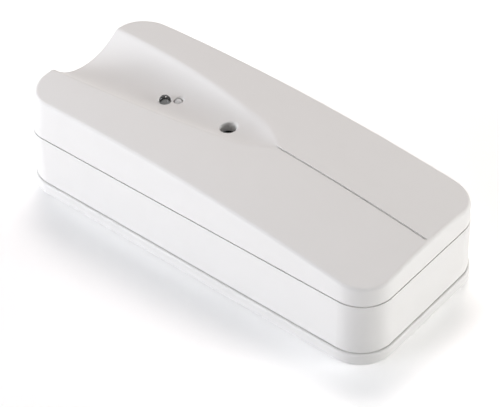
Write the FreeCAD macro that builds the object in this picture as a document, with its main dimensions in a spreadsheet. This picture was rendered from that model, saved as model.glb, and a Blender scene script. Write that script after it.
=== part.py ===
import FreeCAD, Part
import math
import os
import re

import Sketcher
from FreeCAD import Placement, Rotation, Vector

# Acoustic glass break sensor, lying on its wall plate.
# +X runs along the casing to its thin end, +Y across it and +Z out of the wall.
# The origin is on the wall side, in the middle of the casing.

doc = FreeCAD.newDocument("glass_break_sensor")
dims = doc.addObject("Spreadsheet::Sheet", "dims")

# Driving dimensions, in millimetres and degrees
DIMENSIONS = [
    # cutting bodies
    ("overshoot", 1.0, "how far a cutting body runs past a face"),
    ("hair", 0.01, "smallest overlap of a cutting body"),
    ("sky_room", 12.0, "cutting bodies above the crown"),
    # casing
    ("body_length", 110.0, "casing length at the upper seam"),
    ("body_width", 45.2, "casing width at the upper seam"),
    ("corner_radius", 8.5, "corner radius of the casing in plan"),
    ("draft_angle", 2.0, "lean of the casing walls"),
    ("wall", 2.0, "wall of the mouldings"),
    ("plate_height", 3.6, "wall plate, up to the lower seam"),
    ("plate_lip", 0.5, "how far the wall plate stands proud"),
    ("plate_floor", 2.0, "floor of the wall plate"),
    ("plate_round", 0.6, "rounding of the wall plate's edges"),
    ("housing_height", 13.8, "from the lower seam to the upper seam"),
    ("housing_floor", 1.65, "floor of the middle housing"),
    ("seam_gap", 0.3, "open line between two mouldings"),
    ("tongue_thickness", 0.9, "tongue inside each seam"),
    ("tongue_clearance", 0.1, "room beside the tongue"),
    ("tongue_height", 1.2, "how far the upper tongue rises"),
    # front
    ("cover_height", 11.7, "upper seam to the cover's side edge, at the crest"),
    ("crown_rise", 2.05, "rise of the crown from side to middle"),
    ("crest_offset", 34.8, "crest of the front, from the middle"),
    ("slope_radius", 546.0, "lengthwise arc of the front"),
    ("end_rake", 1.9, "lean of the scooped end, on top of the draft"),
    ("edge_round", 1.0, "rounding of the front's edges"),
    # scoop
    ("scoop_reach", 60.0, "outer section of the scoop, from the middle"),
    ("scoop_end_half", 11.6, "half width of the scoop at its open end"),
    ("scoop_end_floor", 6.8, "floor of the scoop at its open end, above the seam"),
    ("mouth_from_middle", 41.0, "mouth of the scoop, from the middle"),
    ("scoop_mouth_half", 11.0, "half width of the scoop at its mouth"),
    ("scoop_mouth_floor", 8.7, "floor of the scoop at its mouth"),
    ("lens_from_middle", 23.3, "indicator lens, from the middle"),
    ("scoop_lens_half", 9.6, "half width of the scoop at the lens"),
    ("scoop_lens_floor", 10.1, "floor of the scoop at the lens"),
    ("port_from_middle", 3.4, "microphone port, from the middle"),
    ("scoop_port_half", 6.4, "half width of the scoop at the port"),
    ("scoop_port_floor", 10.2, "floor of the scoop at the port"),
    ("nose_from_middle", 4.4, "nose section of the scoop, from the middle"),
    ("scoop_nose_half", 4.3, "half width of the scoop at its nose"),
    ("scoop_nose_floor", 10.9, "floor of the scoop at its nose"),
    ("tip_from_middle", 10.9, "tip of the scoop, from the middle"),
    ("tip_radius", 0.8, "section radius of the scoop at its tip"),
    # openings and the fine line on the front
    ("port_radius", 2.1, "microphone port"),
    ("port_bevel", 0.7, "bevel round the microphone port"),
    ("port_roof", 2.6, "thickness of the cover at the port"),
    ("lens_radius", 1.5, "indicator lens"),
    ("lens_roof", 2.3, "thickness of the cover at the lenses"),
    ("lens_pad_border", 2.5, "pad under the cover, round the lenses"),
    ("second_lens_radius", 1.1, "second lens"),
    ("second_lens_along", 3.2, "second lens, along from the first"),
    ("second_lens_across", 1.2, "second lens, across from the first"),
    ("lens_clearance", 0.1, "room round a lens"),
    ("line_width", 0.5, "fine groove along the front"),
    ("line_depth", 0.4, "depth of the fine groove"),
    ("line_end", 52.5, "end of the fine groove, from the middle"),
    # wall fixing
    ("fixing_length", 76.0, "wall screw holes, along the casing"),
    ("fixing_width", 20.0, "wall screw holes, across the casing"),
    ("fixing_radius", 2.2, "wall screw hole"),
    ("fixing_head_radius", 4.1, "countersink for the wall screw"),
    ("fixing_boss_radius", 5.2, "boss round a wall screw hole"),
    ("fixing_boss_rise", 1.5, "boss above the plate's floor"),
    ("rib_thickness", 1.0, "stiffening ribs"),
    ("rib_rise", 1.2, "stiffening ribs above the plate's floor"),
    ("rib_gap", 1.0, "stiffening ribs to the plate's rim"),
    # latches
    ("latch_length", 6.0, "width of a latch"),
    ("latch_thickness", 1.2, "thickness of a latch"),
    ("latch_barb", 0.7, "barb of a latch"),
    ("latch_play", 0.3, "room round a latch"),
    ("plate_latch_from_middle", 30.0, "plate latches, from the middle"),
    ("plate_latch_inset", 4.0, "plate latches, in from the casing side"),
    ("cover_latch_back", 20.0, "cover latches towards the scoop, from the middle"),
    ("cover_latch_front", 25.0, "cover latches towards the thin end, from the middle"),
    ("cover_latch_drop", 5.3, "cover latches below the upper seam"),
    ("cover_latch_root", 5.6, "root of the cover latches above the upper seam"),
    ("cover_latch_tip", 2.0, "lead-in of a cover latch, below its barb"),
    ("catch_reach", 0.5, "catch pockets, inwards from the housing's wall"),
    # circuit board
    ("post_height", 9.6, "board posts above the housing's floor"),
    ("post_radius", 2.75, "board posts"),
    ("board_thickness", 1.6, "circuit board"),
    ("board_end_gap", 3.5, "board to the casing's scooped end"),
    ("board_side_gap", 2.6, "board to the casing's side"),
    ("board_edge_gap", 1.6, "board to the wall behind the positive contact"),
    ("arm_end_gap", 0.2, "board's arm to the negative contact"),
    ("board_corner", 5.0, "corner radius of the board"),
    ("arm_inner_side", 1.2, "inner side of the board's arm, from the middle"),
    ("arm_corner", 3.0, "corner radius of the board's arm"),
    ("screw_inset", 6.5, "board screws from the board's end"),
    ("screw_side", 5.0, "board screws from the board's side"),
    ("arm_screw_inset", 3.5, "arm screw from the arm's end"),
    ("arm_screw_side", 6.0, "arm screw from the board's side"),
    ("screw_radius", 1.0, "shank of a board screw"),
    ("screw_length", 7.0, "board screw under its head"),
    ("screw_head_radius", 2.0, "head of a board screw"),
    ("screw_head_height", 1.4, "head of a board screw"),
    ("screw_head_top", 1.6, "top of a board screw's head"),
    ("slot_reach", 1.2, "cross recess, from the screw's axis"),
    ("slot_half", 0.25, "cross recess, half a slot's width"),
    ("slot_depth", 0.7, "cross recess"),
    ("screw_clearance", 0.05, "room round a screw in its post"),
    ("screw_hole_room", 0.2, "room round a screw in the board"),
    ("pilot_room", 1.0, "pilot hole below the screw"),
    # battery
    ("cell_radius", 8.4, "lithium cell"),
    ("cell_length", 33.5, "lithium cell without its nub"),
    ("nub_radius", 3.2, "positive nub of the cell"),
    ("nub_length", 1.0, "positive nub of the cell"),
    ("cell_shoulder", 0.9, "chamfer of the cell at its nub"),
    ("cell_heel", 0.4, "chamfer of the cell at its flat end"),
    ("cell_side", 8.9, "cell axis, to one side of the middle"),
    ("cell_seat", 0.5, "cell above the housing's floor"),
    ("cell_clearance", 0.05, "room round the cell in its cradle"),
    ("cradle_thickness", 1.6, "cradle ribs"),
    ("cradle_height", 5.6, "cradle ribs above the housing's floor"),
    ("cradle_from_end", 7.4, "cradle ribs from the ends of the cell"),
    ("cradle_shoulder", 0.6, "cradle ribs beyond the cell's sides"),
    ("cell_rib_inset", 0.5, "the cover's cell ribs, in from the cell's sides"),
    ("bay_end", 7.2, "battery bay to the casing's thin end"),
    ("spring_length", 3.9, "battery spring, as pressed by the cell"),
    ("leaf_sheet", 0.3, "sheet of the battery spring"),
    ("leaf_width", 4.5, "width of the battery spring"),
    ("leaf_inset", 0.2, "feet of the battery spring, in from the contact's edges"),
    ("leaf_foot", 1.0, "flat feet of the battery spring"),
    ("leaf_crest", 1.0, "half the flat crest of the battery spring"),
    ("contact_sheet", 0.4, "sheet of the battery contacts"),
    ("contact_width", 8.0, "width of the battery contacts"),
    ("contact_flange", 3.0, "contact flange lying on the board"),
    ("contact_wall", 1.0, "wall behind a battery contact"),
    ("contact_margin", 1.0, "wall beyond the sides of its contact"),
    ("contact_wall_drop", 1.0, "top of that wall below the cell's axis"),
    ("wing_reach", 4.0, "wing of the negative contact, along the arm's end"),
    ("wing_inset", 0.5, "flange of the wing, in from the arm's inner side"),
    # microphone
    ("capsule_radius", 4.85, "microphone capsule"),
    ("capsule_height", 4.6, "microphone capsule"),
    ("capsule_rim", 0.3, "rolled rims of the capsule"),
    ("capsule_groove", 0.2, "groove inside the capsule's lower rim"),
    ("sound_hole_radius", 1.0, "sound hole of the capsule"),
    ("sound_hole_depth", 0.4, "sound hole of the capsule"),
    ("mesh_thickness", 0.3, "dust mesh over the capsule"),
    ("boot_wall", 1.35, "rubber boot round the capsule"),
    ("boot_bore", 3.0, "bore of the boot under the capsule"),
    ("boot_chamfer", 0.4, "foot of the boot"),
    ("collar_wall", 1.2, "collar of the cover round the boot"),
    ("collar_depth", 4.0, "collar below the port's pad"),
    ("fit_clearance", 0.05, "room between pieces that fit"),
    ("pin_radius", 0.3, "component leads"),
    ("pin_spacing", 2.54, "component leads"),
    ("pin_stub", 0.9, "leads below the board"),
    # lens and lamps
    ("flange_thickness", 1.0, "flange of the light pipe"),
    ("flange_border", 1.0, "flange round the light pipe's stems"),
    ("lamp_height", 1.1, "surface lamps on the board"),
    ("lamp_width", 1.6, "surface lamps on the board"),
    ("lamp_length", 3.2, "surface lamps on the board"),
    ("lamp_gap", 0.2, "light pipe above the lamps"),
    ("second_lens_sink", 0.6, "second dome's centre below the scoop's floor"),
    # tamper sensing and antenna
    ("reed_from_middle", 27.5, "reed switch and magnet, from the middle"),
    ("reed_drop", 4.5, "reed switch below the board"),
    ("reed_radius", 1.1, "glass of the reed switch"),
    ("reed_length", 12.0, "glass of the reed switch"),
    ("reed_lead", 1.5, "reed leads beyond the glass"),
    ("reed_solder", 0.5, "reed leads above the board"),
    ("magnet_radius", 3.0, "tamper magnet"),
    ("magnet_height", 1.4, "tamper magnet"),
    ("antenna_inset", 7.2, "antenna loop from the arm's end"),
    ("antenna_length", 28.0, "antenna loop"),
    ("antenna_rise", 3.0, "antenna loop above the board"),
    ("antenna_bend", 1.6, "bends of the antenna loop"),
    ("antenna_radius", 0.4, "antenna wire"),
    ("antenna_side", 2.4, "antenna loop in from the board's side"),
    # other components
    ("controller_size", 7.0, "microcontroller package"),
    ("controller_inset", 14.0, "microcontroller, from the board's end"),
    ("package_height", 1.4, "chip packages"),
    ("package_lift", 0.1, "chip packages above the board"),
    ("leg_thickness", 0.15, "legs of the chip packages"),
    ("leg_reach", 1.0, "legs beyond the package"),
    ("leg_width", 0.35, "legs of the chip packages"),
    ("leg_root", 0.3, "legs inside the package"),
    ("controller_pitch", 0.8, "legs of the microcontroller"),
    ("amplifier_pitch", 1.27, "legs of the audio amplifier"),
    ("amplifier_length", 8.7, "audio amplifier package"),
    ("amplifier_width", 3.9, "audio amplifier package"),
    ("amplifier_from_middle", 14.5, "audio amplifier, from the middle"),
    ("amplifier_side", 12.0, "audio amplifier, to one side"),
    ("shield_length", 15.0, "radio shield"),
    ("shield_width", 11.0, "radio shield"),
    ("shield_height", 3.0, "radio shield"),
    ("shield_sheet", 0.3, "sheet of the radio shield"),
    ("vent_radius", 0.6, "vents of the radio shield"),
    ("shield_from_middle", 17.5, "radio shield, from the middle"),
    ("shield_inset", 7.4, "radio shield, from the board's side"),
    ("crystal_length", 11.0, "crystal can"),
    ("crystal_width", 4.7, "crystal can"),
    ("crystal_height", 3.5, "crystal can"),
    ("crystal_flange", 0.3, "flange round the crystal can"),
    ("crystal_flange_height", 0.5, "flange round the crystal can"),
    ("crystal_flat", 0.1, "half the straight part of the crystal can's ends"),
    ("crystal_from_middle", 28.5, "crystal can, from the middle"),
    ("crystal_side", 13.2, "crystal can, to one side"),
    ("can_radius", 3.15, "electrolytic capacitor"),
    ("can_height", 7.0, "electrolytic capacitor"),
    ("can_base", 1.2, "electrolytic capacitor, up to its crimp"),
    ("can_crimp", 0.35, "depth of the crimp"),
    ("can_crimp_half", 0.3, "half the height of the crimp"),
    ("can_chamfer", 0.3, "top edge of the electrolytic capacitor"),
    ("can_from_middle", 33.0, "electrolytic capacitor, from the middle"),
    ("can_side", 13.0, "electrolytic capacitor, to the other side"),
    ("chip_length", 2.0, "chip capacitors"),
    ("chip_width", 1.25, "chip capacitors"),
    ("chip_height", 0.8, "chip capacitors"),
    ("chip_pitch", 3.2, "row of chip capacitors"),
    ("chip_row_start", 42.4, "row of chip capacitors, from the middle"),
    ("chip_row_side", 8.2, "row of chip capacitors, to one side"),
    ("header_inset", 4.0, "jumper header from the board's end"),
    ("header_base", 2.5, "plastic of the jumper header"),
    ("header_pin", 0.64, "square pins of the jumper header"),
    ("header_rise", 5.2, "pins of the jumper header above the board"),
    ("jumper_height", 3.2, "jumper cap"),
    ("jumper_roof", 0.4, "roof of the jumper cap"),
    ("jumper_play", 0.03, "room round a pin in the jumper cap"),
]
for row, (alias, value, note) in enumerate(DIMENSIONS, start=1):
    dims.set(f"A{row}", note)
    dims.set(f"B{row}", str(value))
    dims.setAlias(f"B{row}", alias)
doc.recompute()
ALIASES = re.compile(r"\b(" + "|".join(alias for alias, _, _ in DIMENSIONS) + r")\b")


# Reading sizes and binding properties to them

def formula(words):
    """The expression for a size written in the sheet's own words."""
    return ALIASES.sub(r"dims.\1", words)


def size(words):
    """The present value of a size written in the sheet's own words."""
    value = dims.evalExpression(formula(words))
    return float(getattr(value, "Value", value))


def bind(thing, name, words):
    """Tie a property of an object to a size."""
    thing.setExpression(name, formula(words))


# Sizes that several pieces share, worked out from the driving dimensions
LEAN = "tan(draft_angle)"
HALF_LENGTH = "body_length / 2"
HALF_WIDTH = "body_width / 2"
LOWER_SEAM = "plate_height"
UPPER_SEAM = "(plate_height + housing_height)"
PLATE_RIM = "(plate_height - seam_gap / 2)"
HOUSING_FOOT = "(plate_height + seam_gap / 2)"
HOUSING_FLOOR_TOP = f"({HOUSING_FOOT} + housing_floor)"
HOUSING_RIM = f"({UPPER_SEAM} - seam_gap / 2)"
COVER_FOOT = f"({UPPER_SEAM} + seam_gap / 2)"
TONGUE_TOP = f"({UPPER_SEAM} + tongue_height)"
COVER_RIDGE = f"({UPPER_SEAM} + cover_height + crown_rise)"
CROWN_RADIUS = f"((({HALF_WIDTH}) ^ 2 + crown_rise ^ 2) / (2 * crown_rise))"
LENS_X = "(-lens_from_middle)"
PORT_X = "(-port_from_middle)"
LENS_FLOOR = f"({UPPER_SEAM} + scoop_lens_floor)"
PORT_FLOOR = f"({UPPER_SEAM} + scoop_port_floor)"
LENS_PAD = f"({LENS_FLOOR} - lens_roof)"
PORT_PAD = f"({PORT_FLOOR} - port_roof)"
SECOND_LENS_X = f"({LENS_X} + second_lens_along)"
BOARD_UNDER = f"({HOUSING_FLOOR_TOP} + post_height)"
BOARD_TOP = f"({BOARD_UNDER} + board_thickness)"
BOARD_END = f"(-{HALF_LENGTH} + board_end_gap)"
BOARD_SIDE = f"({HALF_WIDTH} - board_side_gap)"
CELL_Y = "(-cell_side)"
CELL_Z = f"({HOUSING_FLOOR_TOP} + cell_seat + cell_radius)"
NEGATIVE_BACK = f"({HALF_LENGTH} - bay_end)"
NEGATIVE_FACE = f"({NEGATIVE_BACK} - contact_sheet)"
CELL_END = f"({NEGATIVE_FACE} - spring_length)"
CELL_START = f"({CELL_END} - cell_length)"
POSITIVE_FACE = f"({CELL_START} - nub_length)"
POSITIVE_BACK = f"({POSITIVE_FACE} - contact_sheet)"
BOARD_EDGE = f"({POSITIVE_BACK} - contact_wall - board_edge_gap)"
ARM_END = f"({NEGATIVE_FACE} - arm_end_gap)"
CELL_RIB_MIDDLES = [f"({CELL_START} + cradle_from_end)", f"({CELL_END} - cradle_from_end)"]
BOOT_RADIUS = "(capsule_radius + boot_wall)"
COLLAR_BORE = f"({BOOT_RADIUS} + 2 * fit_clearance)"
CAPSULE_TOP = f"({PORT_PAD} - mesh_thickness)"
CAPSULE_UNDER = f"({CAPSULE_TOP} - capsule_height)"
COVER_LATCH_BARB = f"({UPPER_SEAM} - cover_latch_drop + cover_latch_tip)"
ANTENNA_Y = f"({BOARD_SIDE} - antenna_side)"
ANTENNA_END = f"({ARM_END} - antenna_inset)"
ANTENNA_START = f"({ANTENNA_END} - antenna_length)"
REED_X = "(-reed_from_middle)"
REED_Z = f"({BOARD_UNDER} - reed_drop)"

# Board screws: two at the scooped end, one by the cell and one on the arm
BOARD_SCREWS = [
    (f"{BOARD_END} + screw_inset", f"{BOARD_SIDE} - screw_side"),
    (f"{BOARD_END} + screw_inset", f"-{BOARD_SIDE} + screw_side"),
    (f"{BOARD_EDGE} - screw_side", f"-{BOARD_SIDE} + screw_side"),
    (f"{ARM_END} - arm_screw_inset", f"{BOARD_SIDE} - arm_screw_side"),
]
EAST_WEST = (-1, 1)
HEADER_PINS = (-1, 0, 1)
CHIP_COUNT = 5
CONTROLLER_LEGS = 8
AMPLIFIER_LEGS = 7
VENT_PLACES = (-1, 0, 1)
CROWN_TURN = 30.0  # degrees that the crown's cutting body turns about the slope's axis
LEVEL_EDGE = 0.1  # an edge that rises less than this lies level
COVER_LATCHES = ["-cover_latch_back", "cover_latch_front"]


# Sketching

def new_body(name):
    return doc.addObject("PartDesign::Body", name)


def sketch_on(body, name, plane, x="0", y="0", out="0"):
    """A sketch on one of the body's origin planes, moved along that plane and out of it."""
    sketch = body.newObject("Sketcher::SketchObject", name)
    origin_plane = next(f for f in body.Origin.OriginFeatures if f.Role == plane)
    sketch.AttachmentSupport = [(origin_plane, "")]
    sketch.MapMode = "FlatFace"
    bind(sketch, "AttachmentOffset.Base.x", x)
    bind(sketch, "AttachmentOffset.Base.y", y)
    bind(sketch, "AttachmentOffset.Base.z", out)
    return sketch


def measure(sketch, kind, *where_and_words):
    """A dimension in a sketch, tied to a size."""
    *where, name, words = where_and_words
    index = sketch.addConstraint(Sketcher.Constraint(kind, *where, size(words)))
    sketch.renameConstraint(index, name)
    bind(sketch, f"Constraints.{name}", words)


def draw_rounded_rectangle(sketch, left, right, bottom, top, radius):
    """Four sides and four equal corner arcs, placed from the sketch's origin."""
    first = sketch.GeometryCount
    west, east, south, north, bend = (size(words) for words in (left, right, bottom, top, radius))
    sides = [
        ((west + bend, south), (east - bend, south), (east - bend, south + bend), -90),
        ((east, south + bend), (east, north - bend), (east - bend, north - bend), 0),
        ((east - bend, north), (west + bend, north), (west + bend, north - bend), 90),
        ((west, north - bend), (west, south + bend), (west + bend, south + bend), 180),
    ]
    for start, stop, centre, turn in sides:
        sketch.addGeometry(Part.LineSegment(Vector(*start, 0), Vector(*stop, 0)), False)
        circle = Part.Circle(Vector(*centre, 0), Vector(0, 0, 1), bend)
        corner = Part.ArcOfCircle(circle, math.radians(turn), math.radians(turn + 90))
        sketch.addGeometry(corner, False)
    for index in range(len(sides)):
        side = first + 2 * index
        corner = side + 1
        following = first + (2 * index + 2) % 8
        direction = "Horizontal" if index % 2 == 0 else "Vertical"
        sketch.addConstraint(Sketcher.Constraint("Tangent", side, 2, corner, 1))
        sketch.addConstraint(Sketcher.Constraint("Tangent", corner, 2, following, 1))
        sketch.addConstraint(Sketcher.Constraint(direction, side))
        if index:
            sketch.addConstraint(Sketcher.Constraint("Equal", first + 1, corner))
    tag = f"_{first}"
    measure(sketch, "Radius", first + 1, "radius" + tag, radius)
    measure(sketch, "DistanceY", -1, 1, first, 1, "bottom" + tag, bottom)
    measure(sketch, "DistanceX", -1, 1, first + 2, 1, "right" + tag, right)
    measure(sketch, "DistanceY", -1, 1, first + 4, 1, "top" + tag, top)
    measure(sketch, "DistanceX", -1, 1, first + 6, 1, "left" + tag, left)


def draw_circle(sketch, x, y, radius):
    """A circle placed from the sketch's origin."""
    index = sketch.GeometryCount
    circle = Part.Circle(Vector(size(x), size(y), 0), Vector(0, 0, 1), size(radius))
    sketch.addGeometry(circle, False)
    measure(sketch, "DistanceX", -1, 1, index, 3, f"x_{index}", x)
    measure(sketch, "DistanceY", -1, 1, index, 3, f"y_{index}", y)
    measure(sketch, "Radius", index, f"radius_{index}", radius)


def draw_polygon(sketch, points):
    """A closed run of straight sides through points placed from the sketch's origin."""
    first = sketch.GeometryCount
    corners = [Vector(size(x), size(y), 0) for x, y in points]
    for index, corner in enumerate(corners):
        following = corners[(index + 1) % len(corners)]
        sketch.addGeometry(Part.LineSegment(corner, following), False)
    for index, (x, y) in enumerate(points):
        side = first + index
        previous = first + (index - 1) % len(points)
        sketch.addConstraint(Sketcher.Constraint("Coincident", previous, 2, side, 1))
        measure(sketch, "DistanceX", -1, 1, side, 1, f"x_{side}", x)
        measure(sketch, "DistanceY", -1, 1, side, 1, f"y_{side}", y)


# Features

def pad(body, name, sketch, length, symmetric=False):
    feature = body.newObject("PartDesign::Pad", name)
    feature.Profile = sketch
    feature.SideType = "Symmetric" if symmetric else "One side"
    bind(feature, "Length", length)
    return feature


def pocket(body, name, sketch, length, symmetric=False):
    """Cuts down from the sketch, or to both sides of it."""
    feature = body.newObject("PartDesign::Pocket", name)
    feature.Profile = sketch
    feature.SideType = "Symmetric" if symmetric else "One side"
    bind(feature, "Length", length)
    return feature


def loft(body, name, sections, cuts=False, ruled=True):
    kind = "PartDesign::SubtractiveLoft" if cuts else "PartDesign::AdditiveLoft"
    feature = body.newObject(kind, name)
    feature.Profile = sections[0]
    feature.Sections = sections[1:]
    feature.Ruled = ruled
    return feature


def revolve(body, name, sketch, axis, turn=360.0, cuts=False):
    """Turns a sketch about one of its own axes, to both sides of it."""
    kind = "PartDesign::Groove" if cuts else "PartDesign::Revolution"
    feature = body.newObject(kind, name)
    feature.Profile = sketch
    feature.ReferenceAxis = (sketch, [axis])
    feature.Midplane = turn < 360
    feature.Angle = turn
    return feature


def round_edges(body, name, radius, chosen):
    """Rounds the chosen edges of the body as it stands."""
    doc.recompute()
    base = body.Tip
    names = [f"Edge{number}" for number, edge in enumerate(base.Shape.Edges, start=1) if chosen(edge)]
    feature = body.newObject("PartDesign::Fillet", name)
    feature.Base = (base, names)
    bind(feature, "Radius", radius)
    return feature


# Plain solids and joins

def box(name, west, east, south, north, low, high):
    """A block between six planes."""
    block = doc.addObject("Part::Box", name)
    bind(block, "Length", f"({east}) - ({west})")
    bind(block, "Width", f"({north}) - ({south})")
    bind(block, "Height", f"({high}) - ({low})")
    bind(block, "Placement.Base.x", west)
    bind(block, "Placement.Base.y", south)
    bind(block, "Placement.Base.z", low)
    return block


def post(name, x, y, low, high, radius):
    """An upright cylinder."""
    cylinder = doc.addObject("Part::Cylinder", name)
    bind(cylinder, "Radius", radius)
    bind(cylinder, "Height", f"({high}) - ({low})")
    bind(cylinder, "Placement.Base.x", x)
    bind(cylinder, "Placement.Base.y", y)
    bind(cylinder, "Placement.Base.z", low)
    return cylinder


def bar(name, axis, x, y, z, length, radius):
    """A cylinder that lies along X or Y from the point given."""
    cylinder = doc.addObject("Part::Cylinder", name)
    turn = Rotation(Vector(0, 1, 0), 90) if axis == "X" else Rotation(Vector(1, 0, 0), -90)
    cylinder.Placement = Placement(Vector(0, 0, 0), turn)
    bind(cylinder, "Radius", radius)
    bind(cylinder, "Height", length)
    bind(cylinder, "Placement.Base.x", x)
    bind(cylinder, "Placement.Base.y", y)
    bind(cylinder, "Placement.Base.z", z)
    return cylinder


def cone(name, x, y, low, high, radius_low, radius_high):
    solid = doc.addObject("Part::Cone", name)
    bind(solid, "Radius1", radius_low)
    bind(solid, "Radius2", radius_high)
    bind(solid, "Height", f"({high}) - ({low})")
    bind(solid, "Placement.Base.x", x)
    bind(solid, "Placement.Base.y", y)
    bind(solid, "Placement.Base.z", low)
    return solid


def fuse(name, pieces):
    joined = doc.addObject("Part::MultiFuse", name)
    joined.Shapes = pieces
    return joined


def cut(name, base, tools):
    """The base without its tools."""
    result = doc.addObject("Part::Cut", name)
    result.Base = base
    result.Tool = tools[0] if len(tools) == 1 else fuse(name + "_tools", tools)
    return result


def group(name, pieces):
    """Separate like solids that share one node."""
    compound = doc.addObject("Part::Compound", name)
    compound.Links = pieces
    return compound


def sub_part(thing, label):
    thing.Label = label
    return thing


# The casing

def casing_outline(body, name, height, grow, rake="0"):
    """The casing's rounded plan at a height, grown outwards, its scooped end drawn in by the rake."""
    sketch = sketch_on(body, name, "XY_Plane", out=height)
    draw_rounded_rectangle(
        sketch,
        f"-{HALF_LENGTH} - ({grow}) + {rake}",
        f"{HALF_LENGTH} + ({grow})",
        f"-{HALF_WIDTH} - ({grow})",
        f"{HALF_WIDTH} + ({grow})",
        f"corner_radius + ({grow})",
    )
    return sketch


def leaning(height):
    """How far the drafted wall stands outside its place at the upper seam."""
    return f"({UPPER_SEAM} - ({height})) * {LEAN}"


def casing_block(body, name, low, high, grow="0", cuts=False):
    """A drafted length of the casing between two heights."""
    foot = casing_outline(body, name + "_foot", low, f"{grow} + {leaning(low)}")
    head = casing_outline(body, name + "_head", high, f"{grow} + {leaning(high)}")
    return loft(body, name, [foot, head], cuts)


def casing_ring(body, name, low, height, outer, inner):
    """An upright ring that follows the casing's plan."""
    sketch = sketch_on(body, name + "_plan", "XY_Plane", out=low)
    for grow in (outer, inner):
        draw_rounded_rectangle(
            sketch,
            f"-{HALF_LENGTH} - ({grow})",
            f"{HALF_LENGTH} + ({grow})",
            f"-{HALF_WIDTH} - ({grow})",
            f"{HALF_WIDTH} + ({grow})",
            f"corner_radius + ({grow})",
        )
    return pad(body, name, sketch, height)


TONGUE_OUTER = "-(wall - tongue_thickness)"
TONGUE_INNER = "-wall"
REBATE = "-(wall - tongue_thickness - tongue_clearance)"


def latch(name, x, side, profile):
    """A springy tab with a barb, drawn across the casing and as long as every latch."""
    body = new_body(name)
    sketch = sketch_on(body, name + "_profile", "YZ_Plane", out=x)
    draw_polygon(sketch, [(f"{side} * ({y})", z) for y, z in profile])
    pad(body, name + "_tab", sketch, "latch_length", symmetric=True)
    return body


def wall_plate():
    """Shallow tray against the wall, with screw bosses, ribs, the magnet's cup and four latches."""
    body = new_body("plate_moulding")
    plan = casing_outline(body, "plate_plan", "0", f"plate_lip + {leaning(LOWER_SEAM)}")
    pad(body, "plate_block", plan, PLATE_RIM)
    round_edges(body, "plate_edges", "plate_round", lambda edge: edge.BoundBox.ZLength < LEVEL_EDGE)
    hollow = casing_outline(body, "plate_hollow", PLATE_RIM, REBATE)
    pocket(body, "plate_tray", hollow, f"{PLATE_RIM} - plate_floor")

    boss_top = "(plate_floor + fixing_boss_rise)"
    added = [body]
    bores = []
    for east in EAST_WEST:
        for north in EAST_WEST:
            tag = f"{east}_{north}".replace("-", "m")
            x = f"{east} * fixing_length / 2"
            y = f"{north} * fixing_width / 2"
            added.append(post("fixing_boss_" + tag, x, y, "plate_floor / 2", boss_top, "fixing_boss_radius"))
            bores.append(post("fixing_bore_" + tag, x, y, "-overshoot", "plate_height", "fixing_radius"))
            sink_foot = f"{boss_top} - (fixing_head_radius - fixing_radius)"
            bores.append(
                cone("fixing_sink_" + tag, x, y, sink_foot, boss_top, "fixing_radius", "fixing_head_radius")
            )
            inner = f"{HALF_WIDTH} - plate_latch_inset - latch_thickness"
            outer = f"{HALF_WIDTH} - plate_latch_inset"
            catch = f"({HOUSING_FLOOR_TOP} + fit_clearance)"
            profile = [
                (inner, "plate_floor / 2"),
                (outer, "plate_floor / 2"),
                (outer, catch),
                (f"{outer} + latch_barb", catch),
                (outer, f"{catch} + 2 * latch_barb"),
                (inner, f"{catch} + 2 * latch_barb"),
            ]
            added.append(latch("plate_latch_" + tag, f"{east} * plate_latch_from_middle", north, profile))
    rib_top = "(plate_floor + rib_rise)"
    rib_reach = f"({HALF_LENGTH} - wall - rib_gap)"
    for north in EAST_WEST:
        middle = f"{north} * fixing_width / 2"
        added.append(
            box(
                f"long_rib_{north}".replace("-", "m"),
                f"-{rib_reach}",
                rib_reach,
                f"{middle} - rib_thickness / 2",
                f"{middle} + rib_thickness / 2",
                "plate_floor / 2",
                rib_top,
            )
        )
    for east in EAST_WEST:
        middle = f"{east} * fixing_length / 2"
        added.append(
            box(
                f"cross_rib_{east}".replace("-", "m"),
                f"{middle} - rib_thickness / 2",
                f"{middle} + rib_thickness / 2",
                f"-{HALF_WIDTH} + wall + rib_gap",
                f"{HALF_WIDTH} - wall - rib_gap",
                "plate_floor / 2",
                rib_top,
            )
        )
    cup = "(plate_floor + magnet_height)"
    added.append(post("magnet_cup", REED_X, "0", "plate_floor / 2", cup, "magnet_radius + rib_thickness"))
    seat = "magnet_radius + fit_clearance"
    bores.append(post("magnet_seat", REED_X, "0", "plate_floor", "plate_height + overshoot", seat))
    return sub_part(cut("plate_cut", fuse("plate_joined", added), bores), "wall_plate")


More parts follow.
